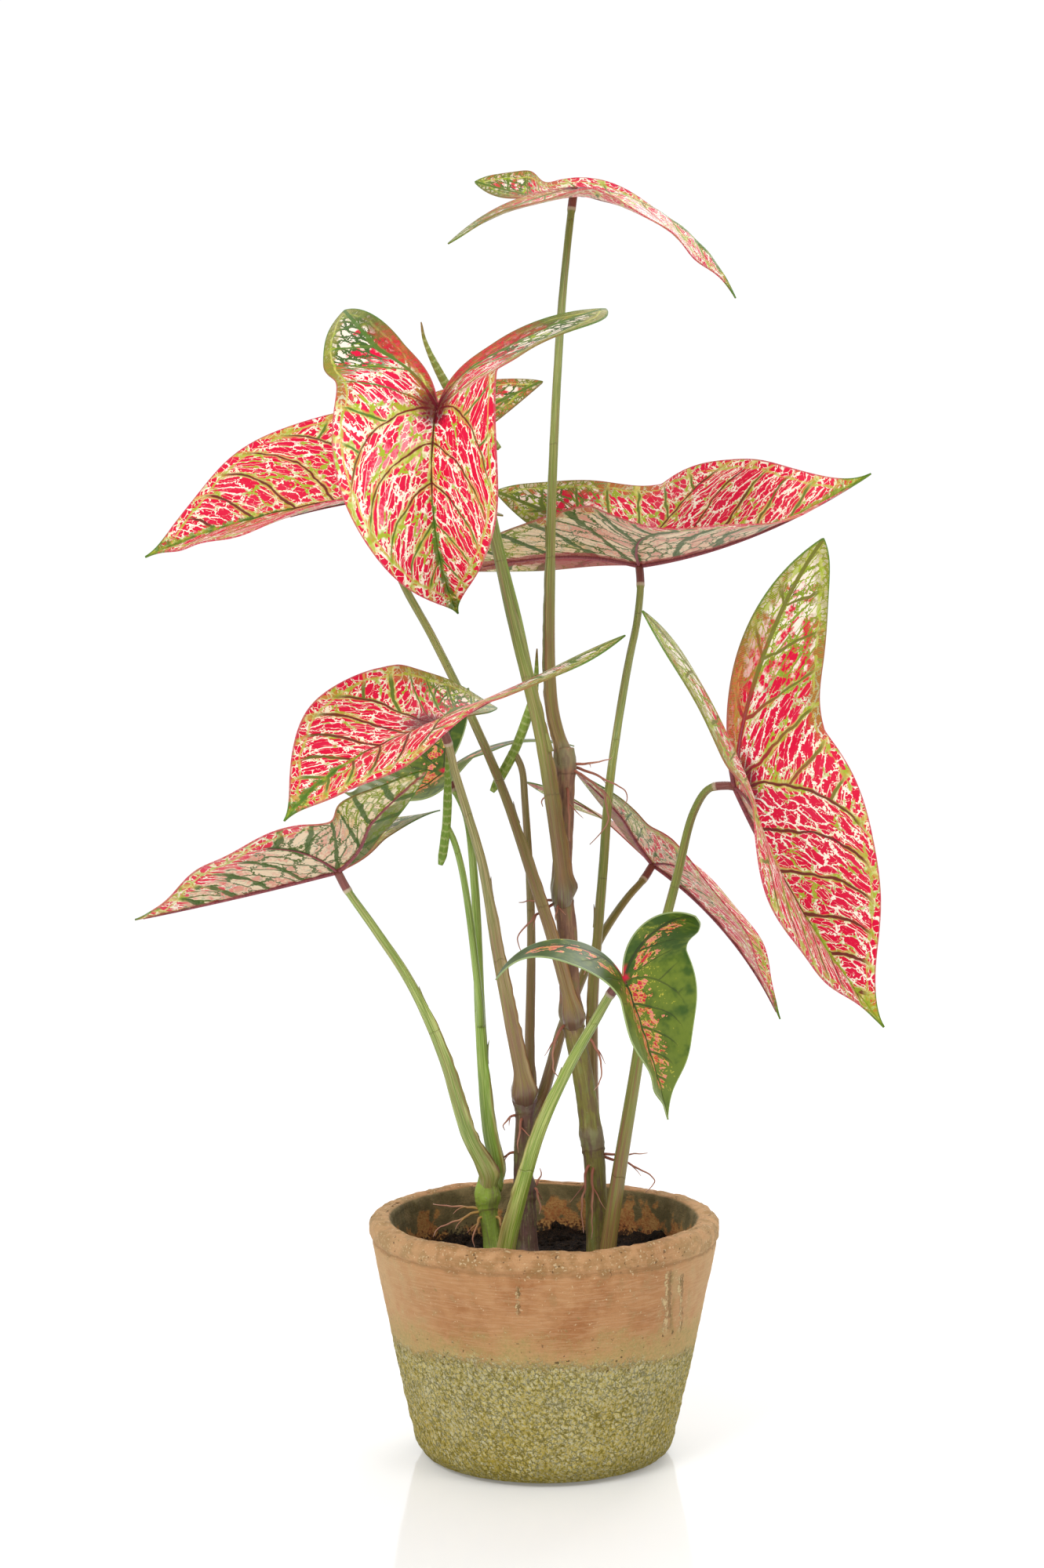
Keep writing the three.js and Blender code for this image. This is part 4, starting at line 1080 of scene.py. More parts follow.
# %% Paths of the stalks
STALK_SIDES = 40
STALK_STEP = 1.5  # between rings
JOINT = 9.0  # length of the joint under a blade
FEET = {  # where a stalk clasps its cane: a point on the axis of the cane below the foot, and the radius there
    "a": ((9, 0.5, 286), 4.6), "b": ((7.6, -2.4, 232), 4.8), "c": ((12.5, -2.4, 180.5), 5.0),
    "d": ((20.8, 0, 127), 5.0), "f": ((-7.8, 4.4, 135.5), 4.6), "g": ((-8.6, 3.4, 147), 5.5),
    "i": ((-24.0, -6.2, 112.0), 4.1), "j": ((-21.6, -2.8, 112.0), 3.6), "rolled_3": ((-8.2, 4.6, 148), 3.6),
}
STALKS = {  # path from the foot up, radius at both ends, and for a sheath its end as a share of the path and azimuth
    "a": ([(9, 1, 293), (3.5, 0, 315.5), (2.5, -1, 373.5), (3, -1, 400.5), (7, 3, 479), (11, 5, 520)],
          (2.6, 1.5), (0.42, 190)),
    "b": ([(7.5, -6, 239.5), (2, -11, 280.5), (-2.5, -14, 306), (-13.5, -20, 351.5), (-21.5, -30, 386),
          (-30, -42, 410.5)], (3, 1.6), (0.62, 60)),
    "rolled_1": ([(2, -12, 296.5), (-3.5, -13, 316), (-11, -17, 351.5), (-17.5, -22, 377), (-23.5, -20, 406),
                 (-26.5, -14, 430.5)], (1.9, 1.4), None),
    "c": ([(11.5, -6, 187.5), (3.5, -10, 217.5), (-3.5, -10, 239.5), (-16.5, -2, 278), (-30.5, 13, 310),
          (-47.5, 18, 344.5), (-61, 14, 370)], (2.6, 1.5), (0.4, 10)),
    "d": ([(21, 4, 134.5), (20.5, 6, 166), (21, 7, 194), (25, 9, 246), (27.5, 11, 279), (30.5, 15, 301),
          (36, 25, 332), (40.5, 35, 352.5), (42, 38, 367.5)], (2.7, 1.5), (0.4, 180)),
    "e": ([(25.5, -9.8, 58), (26, -9.8, 80), (31, -9, 117.5), (37.5, -6, 156.5), (44.5, -4, 199), (55.5, -4, 243.5),
          (62.5, -6, 271.5), (68.5, -8, 281), (75.5, -10, 282.5)], (4, 1.5), None),
    "f": ([(-5, 7, 142), (-1, 10, 148.5), (8, 20, 177), (17.5, 28, 199.5), (25.5, 36, 215), (37, 50, 230),
          (44.5, 58, 237.5)], (3, 1.5), None),
    "g": ([(-9, 0, 155), (-14, -6, 182), (-20, -14, 215.5), (-25.5, -26, 250.5), (-32, -38, 274.5),
          (-36.5, -47, 291), (-38.5, -52, 300.5)], (3.1, 1.5), (0.57, 20)),
    "h": ([(-16, -28, 58), (-15.5, -28, 90), (-11, -30, 111), (-2, -36, 143), (10, -44, 171), (19, -50, 188),
          (27, -57, 203)], (4.2, 1.7), (0.7, 170)),
    "i": ([(-23.5, -7, 118), (-32, -9, 136), (-42, -12, 169.5), (-55, -15, 199.5), (-69.5, -18, 222.5),
          (-81.5, -20, 240)], (3.5, 1.5), (0.6, 10)),
    "j": ([(-20.2, -0.3, 117), (-23.7, 2.4, 138.5), (-27, 6, 182.5), (-29.5, 16, 238), (-33.5, 29, 268),
          (-38.5, 33, 278.5)], (3.3, 1.4), (0.33, 0)),
    "rolled_2": ([(-26.8, 4.5, 180), (-27, 1, 188), (-28, -3, 199), (-31.5, -10, 230), (-34.5, -15, 249),
                 (-37.5, -17, 260), (-40, -18, 265.5)], (1.8, 1.3), None),
    "rolled_3": ([(-6.5, 7, 154), (-6, 9, 176.5), (-5.5, 11, 226.5), (-8, 9, 273.5), (-9.5, 8, 289),
                 (-13, 8, 296.5)], (2.4, 1.4), None),
}
for letter, leaf in LEAVES.items():
    STALKS[letter][0].append(leaf["hub"])  # a stalk ends at the hub of its blade
print("stalks:", len(STALKS), "of which with a sheath:", sum(1 for stalk in STALKS.values() if stalk[2]))


# %% Sheath of a stalk
FLAP_TURN, FLAP_WIDTH, FURROW_WIDTH = 0.8, 0.25, 0.42  # radians round the stalk, from the middle of the sheath


def sheath_tip(line, run, radius, end, direction):
    """The free tip of a sheath: a thin pointed tube that leaves the stalk's side and stops just above its end."""
    share = np.linspace(0, 1, 12)
    tip_run = end - 7 + 10 * share
    centre = place_at(tip_run, run, line)
    away = np.interp(end, run, radius) * (0.62 + 0.7 * share**1.5)
    points, faces, field = tube(centre + direction * away[:, None], tip_run, 1.1 - 1.0 * share, 10)
    mark = np.stack([np.full(len(points), 0.45), np.full(len(points), 0.35), 0 * points[:, 0]], axis=1)
    return points, faces, {"round": field, "mark": mark}


def sheath_flaps(line, share, angle, middle, run, end):
    """Two ragged flaps, exp(-((turn - 0.8) / 0.25)^2) each way from the middle of the sheath, with a furrow
    exp(-(turn / 0.42)^2) between them. Both fade out where the sheath ends and near the foot."""
    turn = np.abs((angle[None, :] - middle[:, None] + math.pi) % (2 * math.pi) - math.pi)
    fade = smooth(end - share, 0, 0.10) * (0.55 + 0.45 * (1 - share / end)) * smooth(run, 2, 9)
    ragged = 1 + lumps(line, 3.0, 8) * 0.22
    flaps = np.exp(-(((turn - FLAP_TURN) / FLAP_WIDTH) ** 2)) * (fade * ragged)[:, None]
    return flaps - np.exp(-((turn / FURROW_WIDTH) ** 2)) * fade[:, None]


print("flaps lie", round(math.degrees(FLAP_TURN)), "degrees to each side of the middle of a sheath")


# %% Shape of a stalk
def stalk_shape(path, radius, sheath, foot, has_joint):
    """Rings whose radius narrows with the power 0.7 of the share run. A foot starts inside the cane and is wider
    for 17 mm. The joint under the blade is a little thicker, with a thin ring at its lower end."""
    if foot:
        path = [foot[0], *path]
    length = smooth_path(path, 2)[1][-1]
    line, run = smooth_path(path, int(length / STALK_STEP))
    base, top = radius
    share = run / length
    plain = base + (top - base) * share**0.7
    clasp = (foot[1] - base) * smooth(run, -4, 5) * (1 - smooth(run, 5, 17)) if foot else 0 * run
    joint = smooth(run, length - JOINT, length - JOINT + 0.8) if has_joint else 0 * run
    ring = np.exp(-(((run - length + JOINT) / 0.7) ** 2)) if has_joint else 0 * run
    side, other = ring_axes(line)
    angle = ring_angles(STALK_SIDES)
    ribs = 0.02 * np.cos(9 * angle)[None, :] * (1 - joint[:, None])
    size = (plain + clasp + 0.25 * joint + 0.3 * ring)[:, None] * (1 + ribs)
    around = tube(line, run, 0 * run + 6, STALK_SIDES)[0][:-2]
    knot = lumps(around, 5.0, 3).reshape(size.shape)
    size = size * (1 + knot * (0.03 + 0.13 * (1 - smooth(run, 4, 22)))[:, None] * (foot is not None))
    flaps = np.zeros_like(size)
    tips = []
    if sheath:
        end, azimuth = sheath
        toward = level_direction(azimuth)
        middle = np.arctan2(other @ toward, side @ toward)
        flaps = sheath_flaps(line, share, angle, middle, run, end)
        size = size + plain[:, None] * np.where(flaps > 0, 0.95 * flaps, 0.5 * flaps)
        tips = [sheath_tip(line, run, plain, end * length, toward)]
    points, faces, field = tube(line, run, size, STALK_SIDES)
    joint_mark = np.repeat(joint + 0.5 * ring, STALK_SIDES)
    mark = np.stack([flaps.ravel(), np.repeat(share, STALK_SIDES), joint_mark], axis=1)
    mark = np.vstack([mark, mark[:1], mark[-1:]])
    return join([(points, faces, {"round": field, "mark": mark}), *tips])


points, faces, fields = stalk_shape(*STALKS["h"], None, True)
print("stalk h:", points.shape, {name: values.shape for name, values in fields.items()})


# %% Colours of a stalk
STALK_FOOT, JOINT_RED, JOINT_RING, FLAP_EDGE = "#957A46", "#8E4F45", "#C9B39A", "#8E4A36"


def skin_noise(finish, wide, tall, scale, detail, shift=(0, 0)):
    """Noise on a tube that has no seam: its place is wide times the cosine and sine of the turn round the tube, and
    tall times the length run along it."""
    cosine, sine, run = finish.attribute("round").parts()
    return finish.noise(finish.vector(cosine * wide + shift[0], sine * wide + shift[1], run * tall), scale, detail)


def stalk_finish(name, seed, green, pale, brown, tinged, cracks, clasps):
    """Green with pale streaks and fine dark lines along it, a brown foot, a pinkish tinge in places, dry rings every
    cracks millimetres, and a reddish joint. Where the foot clasps a cane it has the grey and purple of the cane."""
    finish = Finish(name, {"Roughness": 0.26, "Specular IOR Level": 0.55})
    cosine, sine, run = finish.attribute("round").parts()
    flap, share, joint = finish.attribute("mark").parts()
    streak = skin_noise(finish, 4.0, 0.03, 1.6, 3.0, (seed, 0))
    cloud = skin_noise(finish, 0.6, 0.03, 1.0, 2.0, (0, seed))
    line = skin_noise(finish, 6.0, 0.02, 2.0, 2.0, (0, seed))
    tinge = skin_noise(finish, 1.5, 0.02, 1.3, 2.0, (0, seed))
    foot = (brown - share * 1.25 + (cloud - 0.5) * 0.9 + (streak - 0.5) * 0.5).rises(-0.1, 0.55)
    foot_lines = line.rises(0.45, 0.35) * 0.35
    foot_colour = finish.layers(STALK_FOOT, (streak.rises(0.4, 0.6), "#80503C"), (foot_lines, "#B0A066"))
    knot_colour = finish.mix((cloud + (line - 0.5)).rises(0.4, 0.6), "#7B7652", "#6E504A")
    wave = finish.noise(finish.vector(cosine, sine, seed), 1.2, 1.0) * 3
    crack = abs(((run + wave) / cracks).from_whole() * cracks)
    crack = (0.28 - crack).rises(-0.12, 0.12) * (1 - joint.rises(0.1, 0.3))
    colour = finish.layers(
        green,
        (streak.rises(0.42, 0.62), pale),
        (line.rises(0.54, 0.6) * 0.4, "#5C6E2C"),
        (foot * 0.8, foot_colour),
        (tinge.rises(0.48, 0.7) * tinged, "#946048"),
        # painted shade: the furrow between the two flaps of a sheath is darkened
        ((0 - flap).rises(0.15, 0.7) * 0.8, finish.mix(streak, "#3F3518", "#6A4A2A")),
        (flap.rises(0.3, 0.6) * 0.5, finish.mix(streak.rises(0.4, 0.6), FLAP_EDGE, "#B9A165")),
        (flap.rises(0.75, 0.95) * 0.75, "#6B3A24"),
        ((run + (cloud - 0.5) * 16).rises(15, 6) * 0.8 * float(clasps), knot_colour),
        (crack * 0.25, "#6E5A34"),
        (joint.rises(0.55, 0.8), finish.mix(streak.rises(0.35, 0.7), JOINT_RED, "#70382F")),
        (joint.rises(0.2, 0.5) * (1 - joint.rises(0.7, 0.95)) * 0.8, JOINT_RING),
    )
    height = streak - crack * 0.8 + line * 0.5
    return finish.done(Base_Color=colour, Normal=finish.bump(height, 0.0005, 0.6))


# %% The stalks
# green, pale streaks, how brown the foot is, how pink the tinge is
PLAIN_STALK = ("#7C9034", "#A9B660", 0.25, 0.25)
STALK_COLOURS = {
    "a": ("#7C8A38", "#A0A45A", 0.55, 0.35), "b": ("#7C8A38", "#A0A45A", 0.55, 0.4),
    "c": ("#7A8436", "#A79C56", 0.75, 0.4), "d": ("#7C8C36", "#A4A858", 0.7, 0.3),
    "e": ("#7C8C34", "#9C9C4E", 0.6, 0.75), "f": ("#7C7C38", "#A08C52", 0.75, 0.4),
    "g": ("#8C8A48", "#C0B078", 0.7, 0.45), "h": ("#86A038", "#C0C870", 0.4, 0.2),
    "i": ("#80983C", "#B8C070", 0.15, 0.3), "j": ("#86A63E", "#AEC468", 0.0, 0.05),
    "rolled_2": ("#86A63E", "#AEC468", 0.0, 0.05), "rolled_3": ("#8C8048", "#B49A70", 0.6, 0.5),
}
GREEN_CANE = "ij"  # these stalks clasp the green cane on the left, so their feet stay green
for number, (letter, (path, radius, sheath)) in enumerate(STALKS.items()):
    points, faces, fields = stalk_shape(path, radius, sheath, FEET.get(letter), letter in LEAVES)
    clasps = letter in FEET and letter not in GREEN_CANE
    colours = STALK_COLOURS.get(letter, PLAIN_STALK)
    skin = stalk_finish(f"stalk_{letter}_skin", 2.3 * number, *colours, 47.0 + 3 * number, clasps)
    add_piece(f"petiole_{letter}", points, faces, [f"stalk_{letter}"], skin, fields)

# %% [markdown]
# ## Young leaves that are still rolled
#
# Before it opens, a blade is rolled into a spindle: blunt at the lower end, drawn out to a point at the other. Pale
# bands show where the coming side veins lie. A tube with a spiral edge is enough.

# %% Rolled leaves
ROLLED = {  # path from the point to the blunt end, radius, colour
    "rolled_1": (
        [(-50.5, -20, 472.5), (-49, -19, 465), (-39, -17, 445), (-28.5, -15, 432), (-18.5, -14, 421.5)],
        1.9, "#8C8238",
    ),
    "rolled_2": (
        [(-40.5, -17, 299.5), (-40, -18, 283.5), (-40.5, -18, 267.5), (-42, -18, 254.5), (-43, -18, 250)],
        1.8, "#7FA33C",
    ),
    "rolled_3": ([(-3, 6, 339.5), (-4, 7, 322), (-12.5, 8, 296.5), (-18.5, 8, 285), (-22, 8, 279)], 2.0, "#8FA842"),
}
ROLL_SIDES = 24
BAND_STEP = 3.1  # from one pale band to the next


def rolled_shape(path, radius):
    """Rings that widen from the point over 45 parts in 100 of the length and close like a ball at the blunt end.
    The edge of the roll is a step of a tenth of the radius that turns once round on its way."""
    line, run = smooth_path(path, 70)
    share = run / run[-1]
    blunt = np.sqrt(np.clip((1.02 - share) / 0.1, 0.03, 1))
    full = 0.25 + (radius - 0.25) * np.minimum(1, share / 0.45) ** 0.8 * blunt
    angle = ring_angles(ROLL_SIDES)
    turn = (angle[None, :] - 2 * math.pi * share[:, None]) % (2 * math.pi)
    return tube(line, run, full[:, None] * (0.97 + 0.12 * turn / (2 * math.pi)), ROLL_SIDES)


def rolled_finish(name, skin, seed):
    """Light green with pale bands across and a brown point."""
    finish = Finish(name, {"Roughness": 0.4, "Specular IOR Level": 0.35})
    cosine, _, run = finish.attribute("round").parts()
    streak = skin_noise(finish, 2.0, 0.15, 1.5, 2.0, (seed, 0))
    band = ((run + cosine * 0.9 + streak * 2.0) / BAND_STEP).from_whole().rises(0.30, 0.42)
    colour = finish.layers(
        skin, (streak.rises(0.3, 0.7), "#6F8A30"), (band * 0.4, "#C3CC86"), (run.rises(9, 1) * 0.8, "#8A5E34")
    )
    return finish.done(Base_Color=colour, Normal=finish.bump(streak + band * 0.4, 0.0003, 0.5))


for number, (name, (path, radius, skin)) in enumerate(ROLLED.items()):
    points, faces, field = rolled_shape(path, radius)
    material = rolled_finish(f"{name}_skin", skin, 4.1 * number)
    add_piece(f"young_{name}", points, faces, [f"leaf_{name}"], material, {"round": field})

# %% [markdown]
# ## Canes and roots
#
# The old stems, or canes, are ringed: where a leaf once stood they bulge and carry a scar like a thin collar. They
# are olive to purple-brown with whitish, corky spots on the bulges. Thin reddish roots grow out of them into the
# air. A cane is a tube whose radius has a bump at each node, and a root is a thin tube that hooks away and branches.

# %% Canes
CANE_SIDES = 40
CANE_STEP = 0.8  # between rings
NODE_SPREAD = 5.0
COLLARS = ((6.5, 0.6, 1.0), (3.4, 0.5, 0.5))  # how far below a node, width, height
ROOT_RADIUS = 0.68
CANES = {  # path, radius below and above, (height, bulge) of the nodes, (height, azimuth, reach, rise, hook) of roots
    "right": (
        [(23.5, 0, 58), (22.5, 0, 83), (21.5, 0, 119.5), (20, -1, 134), (16.5, -2, 158.5), (11.5, -2, 186.5),
         (9.5, -2, 222.5), (7.5, -2, 239), (8.5, 0, 270), (9, 0, 290.5), (8.5, 1, 297.5)],
        (4.7, 3.9), [(134, 0.9), (186.5, 1), (239, 0.9), (293, 0.9)],
        [(291, -15, 16, 3, -2), (290, 10, 21, -17, 3), (289, -30, 8, -31, 16), (281, -80, 4, -22, 1),
         (281, 200, 6, -8, 1), (234, 175, 15, -1, -2), (233, 200, 15, -20, 3), (232, 240, 3, -6, 0),
         (210, -40, 4, -7, 2), (182, 215, 3, -24, 7), (178, -20, 5, -24, 6), (126, -10, 19, 1, -3),
         (125, 5, 18, -16, 8), (122, -125, 5, -28, 2), (121, -100, 3, -30, 2)],
    ),
    "middle": (
        [(-7, 4, 58), (-7, 4, 82), (-7.5, 4, 100.5), (-9, 4, 122.5), (-8, 4, 141.5), (-8.5, 4, 148.5),
         (-8.5, 4, 159)],
        (4.4, 3.8), [(82, 0.8), (112, 0.5), (149, 1.6)],
        [(142, 190, 5, -6, 2), (141, 250, 4, -14, 1), (126, 180, 7, -6, 1), (112, 0, 3, 7, 1),
         (111, -20, 3, -11, 1), (107, 215, 3, -12, 1)],
    ),
    "left": (
        [(-20, -5, 58), (-21, -6, 84.5), (-23.5, -6, 103), (-24, -6, 109.5), (-23.5, -6, 120)],
        (4, 3.6), [(84, 0.8), (109.5, 1.8)],
        [(104, 170, 20, 1, -4), (103, 190, 20, -10, -3), (101, 215, 4, -12, 1), (101, -30, 4, -12, 1)],
    ),
}


print("nodes:", {name: len(nodes) for name, (_, _, nodes, _) in CANES.items()})

# %% [markdown]
# The bump of a node is a bell curve along the height. Below it two collars run round the cane, the scars of old
# leaves. They are slanted: a little of the cosine of the turn is added to the height before the curve is taken.


# %% Shape of a cane
def cane_shape(path, radius, nodes, seed):
    """Rings with a bump exp(-((z - node) / 5)^2) at each node, two thin slanted collars below it and soft
    unevenness. Its field "mark" holds the bump, the collar and 0 for a cane."""
    line, run = smooth_path(path, int((path[-1][2] - path[0][2]) / CANE_STEP))
    height = line[:, 2]
    bump = sum(extra * np.exp(-(((height - z) / NODE_SPREAD) ** 2)) for z, extra in nodes)
    plain = radius[0] + (radius[1] - radius[0]) * run / run[-1] + bump
    points, faces, field = tube(line, run, plain, CANE_SIDES)
    slanted = points[:, 2] + 1.1 * field[:, 0] + 0.7 * field[:, 1] + lumps(points, 3.0, seed + 3) * 0.8
    collar = 0
    for below, width, high in COLLARS:
        collar = collar + sum(high * np.exp(-(((slanted - z + below) / width) ** 2)) for z, _ in nodes)
    axis = np.vstack([np.repeat(line, CANE_SIDES, axis=0), line[:1], line[-1:]])
    outward = unit(points - axis)
    bump = np.concatenate([np.repeat(bump, CANE_SIDES), [0, 0]])
    uneven = lumps(points, 4.5, seed) * (0.16 + 0.45 * bump) + lumps(points, 1.6, seed + 1) * (0.05 + 0.1 * bump)
    points = points + outward * (uneven + 0.45 * collar * (0.6 + lumps(points, 2.5, seed + 2)))[:, None]
    return points, faces, {"round": field, "mark": np.stack([bump, collar, 0 * bump], axis=1)}


# %% [markdown]
# A root needs only five stops: inside the cane, at its skin, and three that say how far it reaches, how much it
# rises or hangs, and how it hooks. Soft lumps then shake it off its smooth path, and a branch leaves it on one side.

# %% Shape of a root
ROOT_SIDES = 8
WIGGLE = 0.55  # how far a root strays from its smooth path


def root_shape(path, skin, height, azimuth, reach, rise, hook):
    """A root that tapers by (1 - 0.75 share) and a thinner branch that leaves it a third of the way along. Its field
    "mark" holds 0, the share run and 1 for a root."""
    line, run = smooth_path(path, 200)
    share = (height - path[0][2]) / (path[-1][2] - path[0][2])
    start = place_at([share * run[-1]], run, line)[0]
    out, up = level_direction(azimuth), np.array([0, 0, 1])
    stops = [(skin - 1.5, 0), (skin + 1.5, rise * 0.04), (skin + reach * 0.5 + hook * 0.6, rise * 0.3),
             (skin + reach + hook * 0.5, rise * 0.7), (skin + reach, rise)]
    main, along = smooth_path([start + out * far + up * high for far, high in stops], 34)
    wiggle = np.stack([lumps(main + shift, 3.2, 5) for shift in (0, 40, 80)], axis=1)
    main = main + wiggle * smooth(along, 2, 6)[:, None] * WIGGLE
    aside = np.cross(out, up) * (1 if azimuth % 2 else -1)
    far = min(6.0, 0.45 * along[-1])
    twig = [main[11], main[13] + aside * 0.25 * far, main[16] + aside * 0.6 * far - up * 0.1 * far,
            main[18] + aside * far - up * 0.3 * far]
    branch, branch_run = smooth_path(twig, 14)
    parts = []
    for part, length, thick in ((main, along, ROOT_RADIUS), (branch, branch_run, ROOT_RADIUS * 0.55)):
        share = length / length[-1]
        points, faces, field = tube(part, length, thick * (1 - 0.75 * share), ROOT_SIDES)
        ends = np.concatenate([np.repeat(share, ROOT_SIDES), [0, 1]])
        mark = np.stack([0 * ends, ends, 1 + 0 * ends], axis=1)
        parts.append((points, faces, {"round": field, "mark": mark}))
    return join(parts)


# %% Colours of a cane
CANE_COLOURS = {  # above, below, bulge, roots, share of the purple, the length where above and below meet
    "right": ("#A07A5E", "#86803E", "#8C8862", "#A3604C", 0.45, 125),
    # the middle cane's darker browns are partly its own colour and partly painted shade, where it stands between the
    # other canes
    "middle": ("#6E5A40", "#604A3E", "#766656", "#A3604C", 0.6, 60),
    "left": ("#9AA448", "#86A03A", "#94AC40", "#B8924A", 0.15, 96),
}


def cane_finish(name, seed, above, below, bulge, thread, purple, dusk):
    """One colour below and another above the length dusk, with lengthwise streaks, purple and green blotches, corky
    pale spots, dark collars, and roots of the colour thread with pale tips."""
    finish = Finish(name, {"Roughness": 0.55, "Specular IOR Level": 0.3})
    run = finish.attribute("round").parts()[2]
    bump, collar, root = finish.attribute("mark").parts()
    streak = skin_noise(finish, 3.6, 0.07, 1.6, 3.0, (seed, 0))
    spot = skin_noise(finish, 4.0, 0.9, 1.0, 3.0, (0, seed))
    cloud = skin_noise(finish, 1.2, 0.06, 1.0, 2.0, (seed, 0))
    blotch = skin_noise(finish, 1.8, 0.13, 1.0, 3.0, (0, seed))
    root_colour = finish.layers(
        thread, ((collar + streak * 0.5).rises(0.25, 1.0), "#C98E76"), (collar.rises(0.85, 1.0) * 0.6, "#E0BCA6")
    )
    colour = finish.layers(
        below,
        ((run + (cloud - 0.5) * 30 + (streak - 0.5) * 16).rises(dusk - 10, dusk + 10), above),
        (streak.rises(0.35, 0.7) * 0.4, "#5F4A34"),
        (streak.rises(0.42, 0.3) * 0.4, "#A79A70"),
        ((bump + (cloud - 0.5) * 1.2).rises(0.25, 0.7) * 0.8, bulge),
        ((blotch + bump * 0.03).rises(0.5, 0.62) * purple, "#6E4A48"),
        (blotch.rises(0.45, 0.32) * 0.4, "#849050"),
        ((spot + bump * 0.05).rises(0.68, 0.78) * 0.45, "#B5AC8C"),
        ((cloud + streak * 0.4).rises(0.78, 0.9) * 0.4, "#6B4650"),
        (collar.rises(0.3, 0.8) * 0.55, "#5B4030"),
        (root, root_colour),
    )
    return finish.done(Base_Color=colour, Normal=finish.bump(streak + spot * 0.8, 0.0005, 0.6))


for number, (name, (path, radius, nodes, roots)) in enumerate(CANES.items()):
    parts = [cane_shape(path, radius, nodes, 20 + number)]
    parts += [root_shape(path, radius[1], *root) for root in roots]
    points, faces, fields = join(parts)
    skin = cane_finish(f"cane_{name}_skin", 6.1 * number, *CANE_COLOURS[name])
    add_piece(f"stem_{name}", points, faces, [f"cane_{name}"], skin, fields)

# %% [markdown]
# ## The pot
#
# The pot is thick, hand-finished clay: a low rim with a worn top, a fine groove under it, faint wheel marks round the
# wall, and a crust of moss and lime on the lower part that stands a little proud of the clay. A wall profile turned
# round the axis gives the form. The wear is real relief: every point is moved along its outward direction.

# %% The wall of the pot
POT_COLUMNS = 460
POT_HEIGHT = 101
POT_WALL = [
    (30, 0), (46, 0), (51.5, 1.8), (54.4, 6.5), (70.6, 80), (72.5, 90.3), (71.9, 91.6), (73.4, 93.4), (73.6, 98),
    (72.4, 100.3), (70.4, 101), (67, 101), (64.9, 100.1), (64.2, 98), (62, 80), (58, 62),
]


def wall_rows(profile, outer_step, inner_step):
    """The profile with its corners rounded, cut into steps that are finer on the outside of the wall."""
    corners = np.array(profile, dtype=float)
    run = length_run(corners)
    fine = np.arange(0, run[-1], 0.1)
    dense = place_at(fine, run, corners)
    weight = np.exp(-(np.linspace(-2.5, 2.5, 31) ** 2))
    padded = np.vstack([np.repeat(dense[:1], 15, 0), dense, np.repeat(dense[-1:], 15, 0)])
    dense = np.column_stack([np.convolve(padded[:, k], weight / weight.sum(), "valid") for k in (0, 1)])
    over_the_rim = run[11]
    cuts = np.concatenate([np.arange(0, over_the_rim, outer_step), np.arange(over_the_rim, fine[-1], inner_step)])
    return place_at(cuts, fine, dense)


rows = wall_rows(POT_WALL, 0.78, 1.3)
print("rows in the pot:", len(rows), "highest", round(float(rows[:, 1].max()), 2))


# %% Relief of the pot
GROOVES = [  # place, lower and upper end, width, depth
    (-10, 76, 89, 0.6, 0.45), (52, 58, 90, 1.4, 0.3), (58.5, 50, 84, 1.2, 0.2), (24, 76, 84, 0.5, 0.2),
]


def crust_share(points):
    """How much crust lies on a point: 1 below a wavy line, 0 above it, with a broken edge. The line lies near z = 51,
    and 4 mm higher in the middle of the front."""
    azimuth = np.arctan2(points[:, 1], points[:, 0])
    front = np.clip(-np.sin(azimuth), 0, 1) ** 2
    line = 51 + 4 * front - 1.5 * np.cos(azimuth) + lumps(points, 9, 31) * 1.4 + lumps(points, 2.5, 32) * 1.8
    return smooth(line - points[:, 2], -5.0, 8.0)


def scratch(points, x, low, high, width):
    """A groove with raised lips on the front of the pot: (1 - d^2) exp(-d^2 / 2) of the sideways distance d."""
    sideways = (points[:, 0] - x - 0.5 * np.sin(points[:, 2] * 0.35)) / width
    inside = smooth(points[:, 2], low, low + 3) * smooth(-points[:, 2], -high, -high + 3) * (points[:, 1] < 0)
    return (1 - sideways**2) * np.exp(-(sideways**2) / 2) * inside


def pot_relief(points, inside):
    """How far each point of the wall is moved outwards, and its wear: the crust, whether it lies inside, and the
    depth of scratches and pits. Two slow sines make the pot a little out of round."""
    turn = np.arctan2(points[:, 1], points[:, 0])
    z = points[:, 2]
    crust = crust_share(points) * (1 - inside)
    wheel = lumps(points * [0.08, 0.08, 1.0], 1.3, 33) * 0.10
    relief = 0.30 * np.sin(2 * turn + 1) + 0.18 * np.sin(3 * turn + 2) + wheel + lumps(points, 14, 34) * 0.25
    relief += smooth(z, 90, 94) * (lumps(points, 6, 35) * 0.45 + lumps(points, 2.2, 36) * 0.22)
    relief -= smooth(grains(points, 5.5, 37), 0.62, 0.9) * smooth(z, 95, 99) * 0.6
    crumbly = 0.45 * grains(points, 1.9, 38) + 0.34 * lumps(points, 3.4, 39) + 0.25 * lumps(points, 9, 40)
    relief += crust * (0.05 + crumbly)
    worn = 0.35 + 0.65 * smooth(lumps(points, 5, 43), -0.3, 0.4)
    marks = sum(scratch(points, *where) * depth for *where, depth in GROOVES) * worn
    pits = smooth(grains(points, 3.7, 41), 0.86, 0.97) * smooth(lumps(points, 12, 42), 0.1, 0.5)
    relief -= marks + pits * 0.35 * (1 - inside)
    return relief * smooth(z, 0.3, 4), np.stack([crust, inside, marks + pits], axis=1)


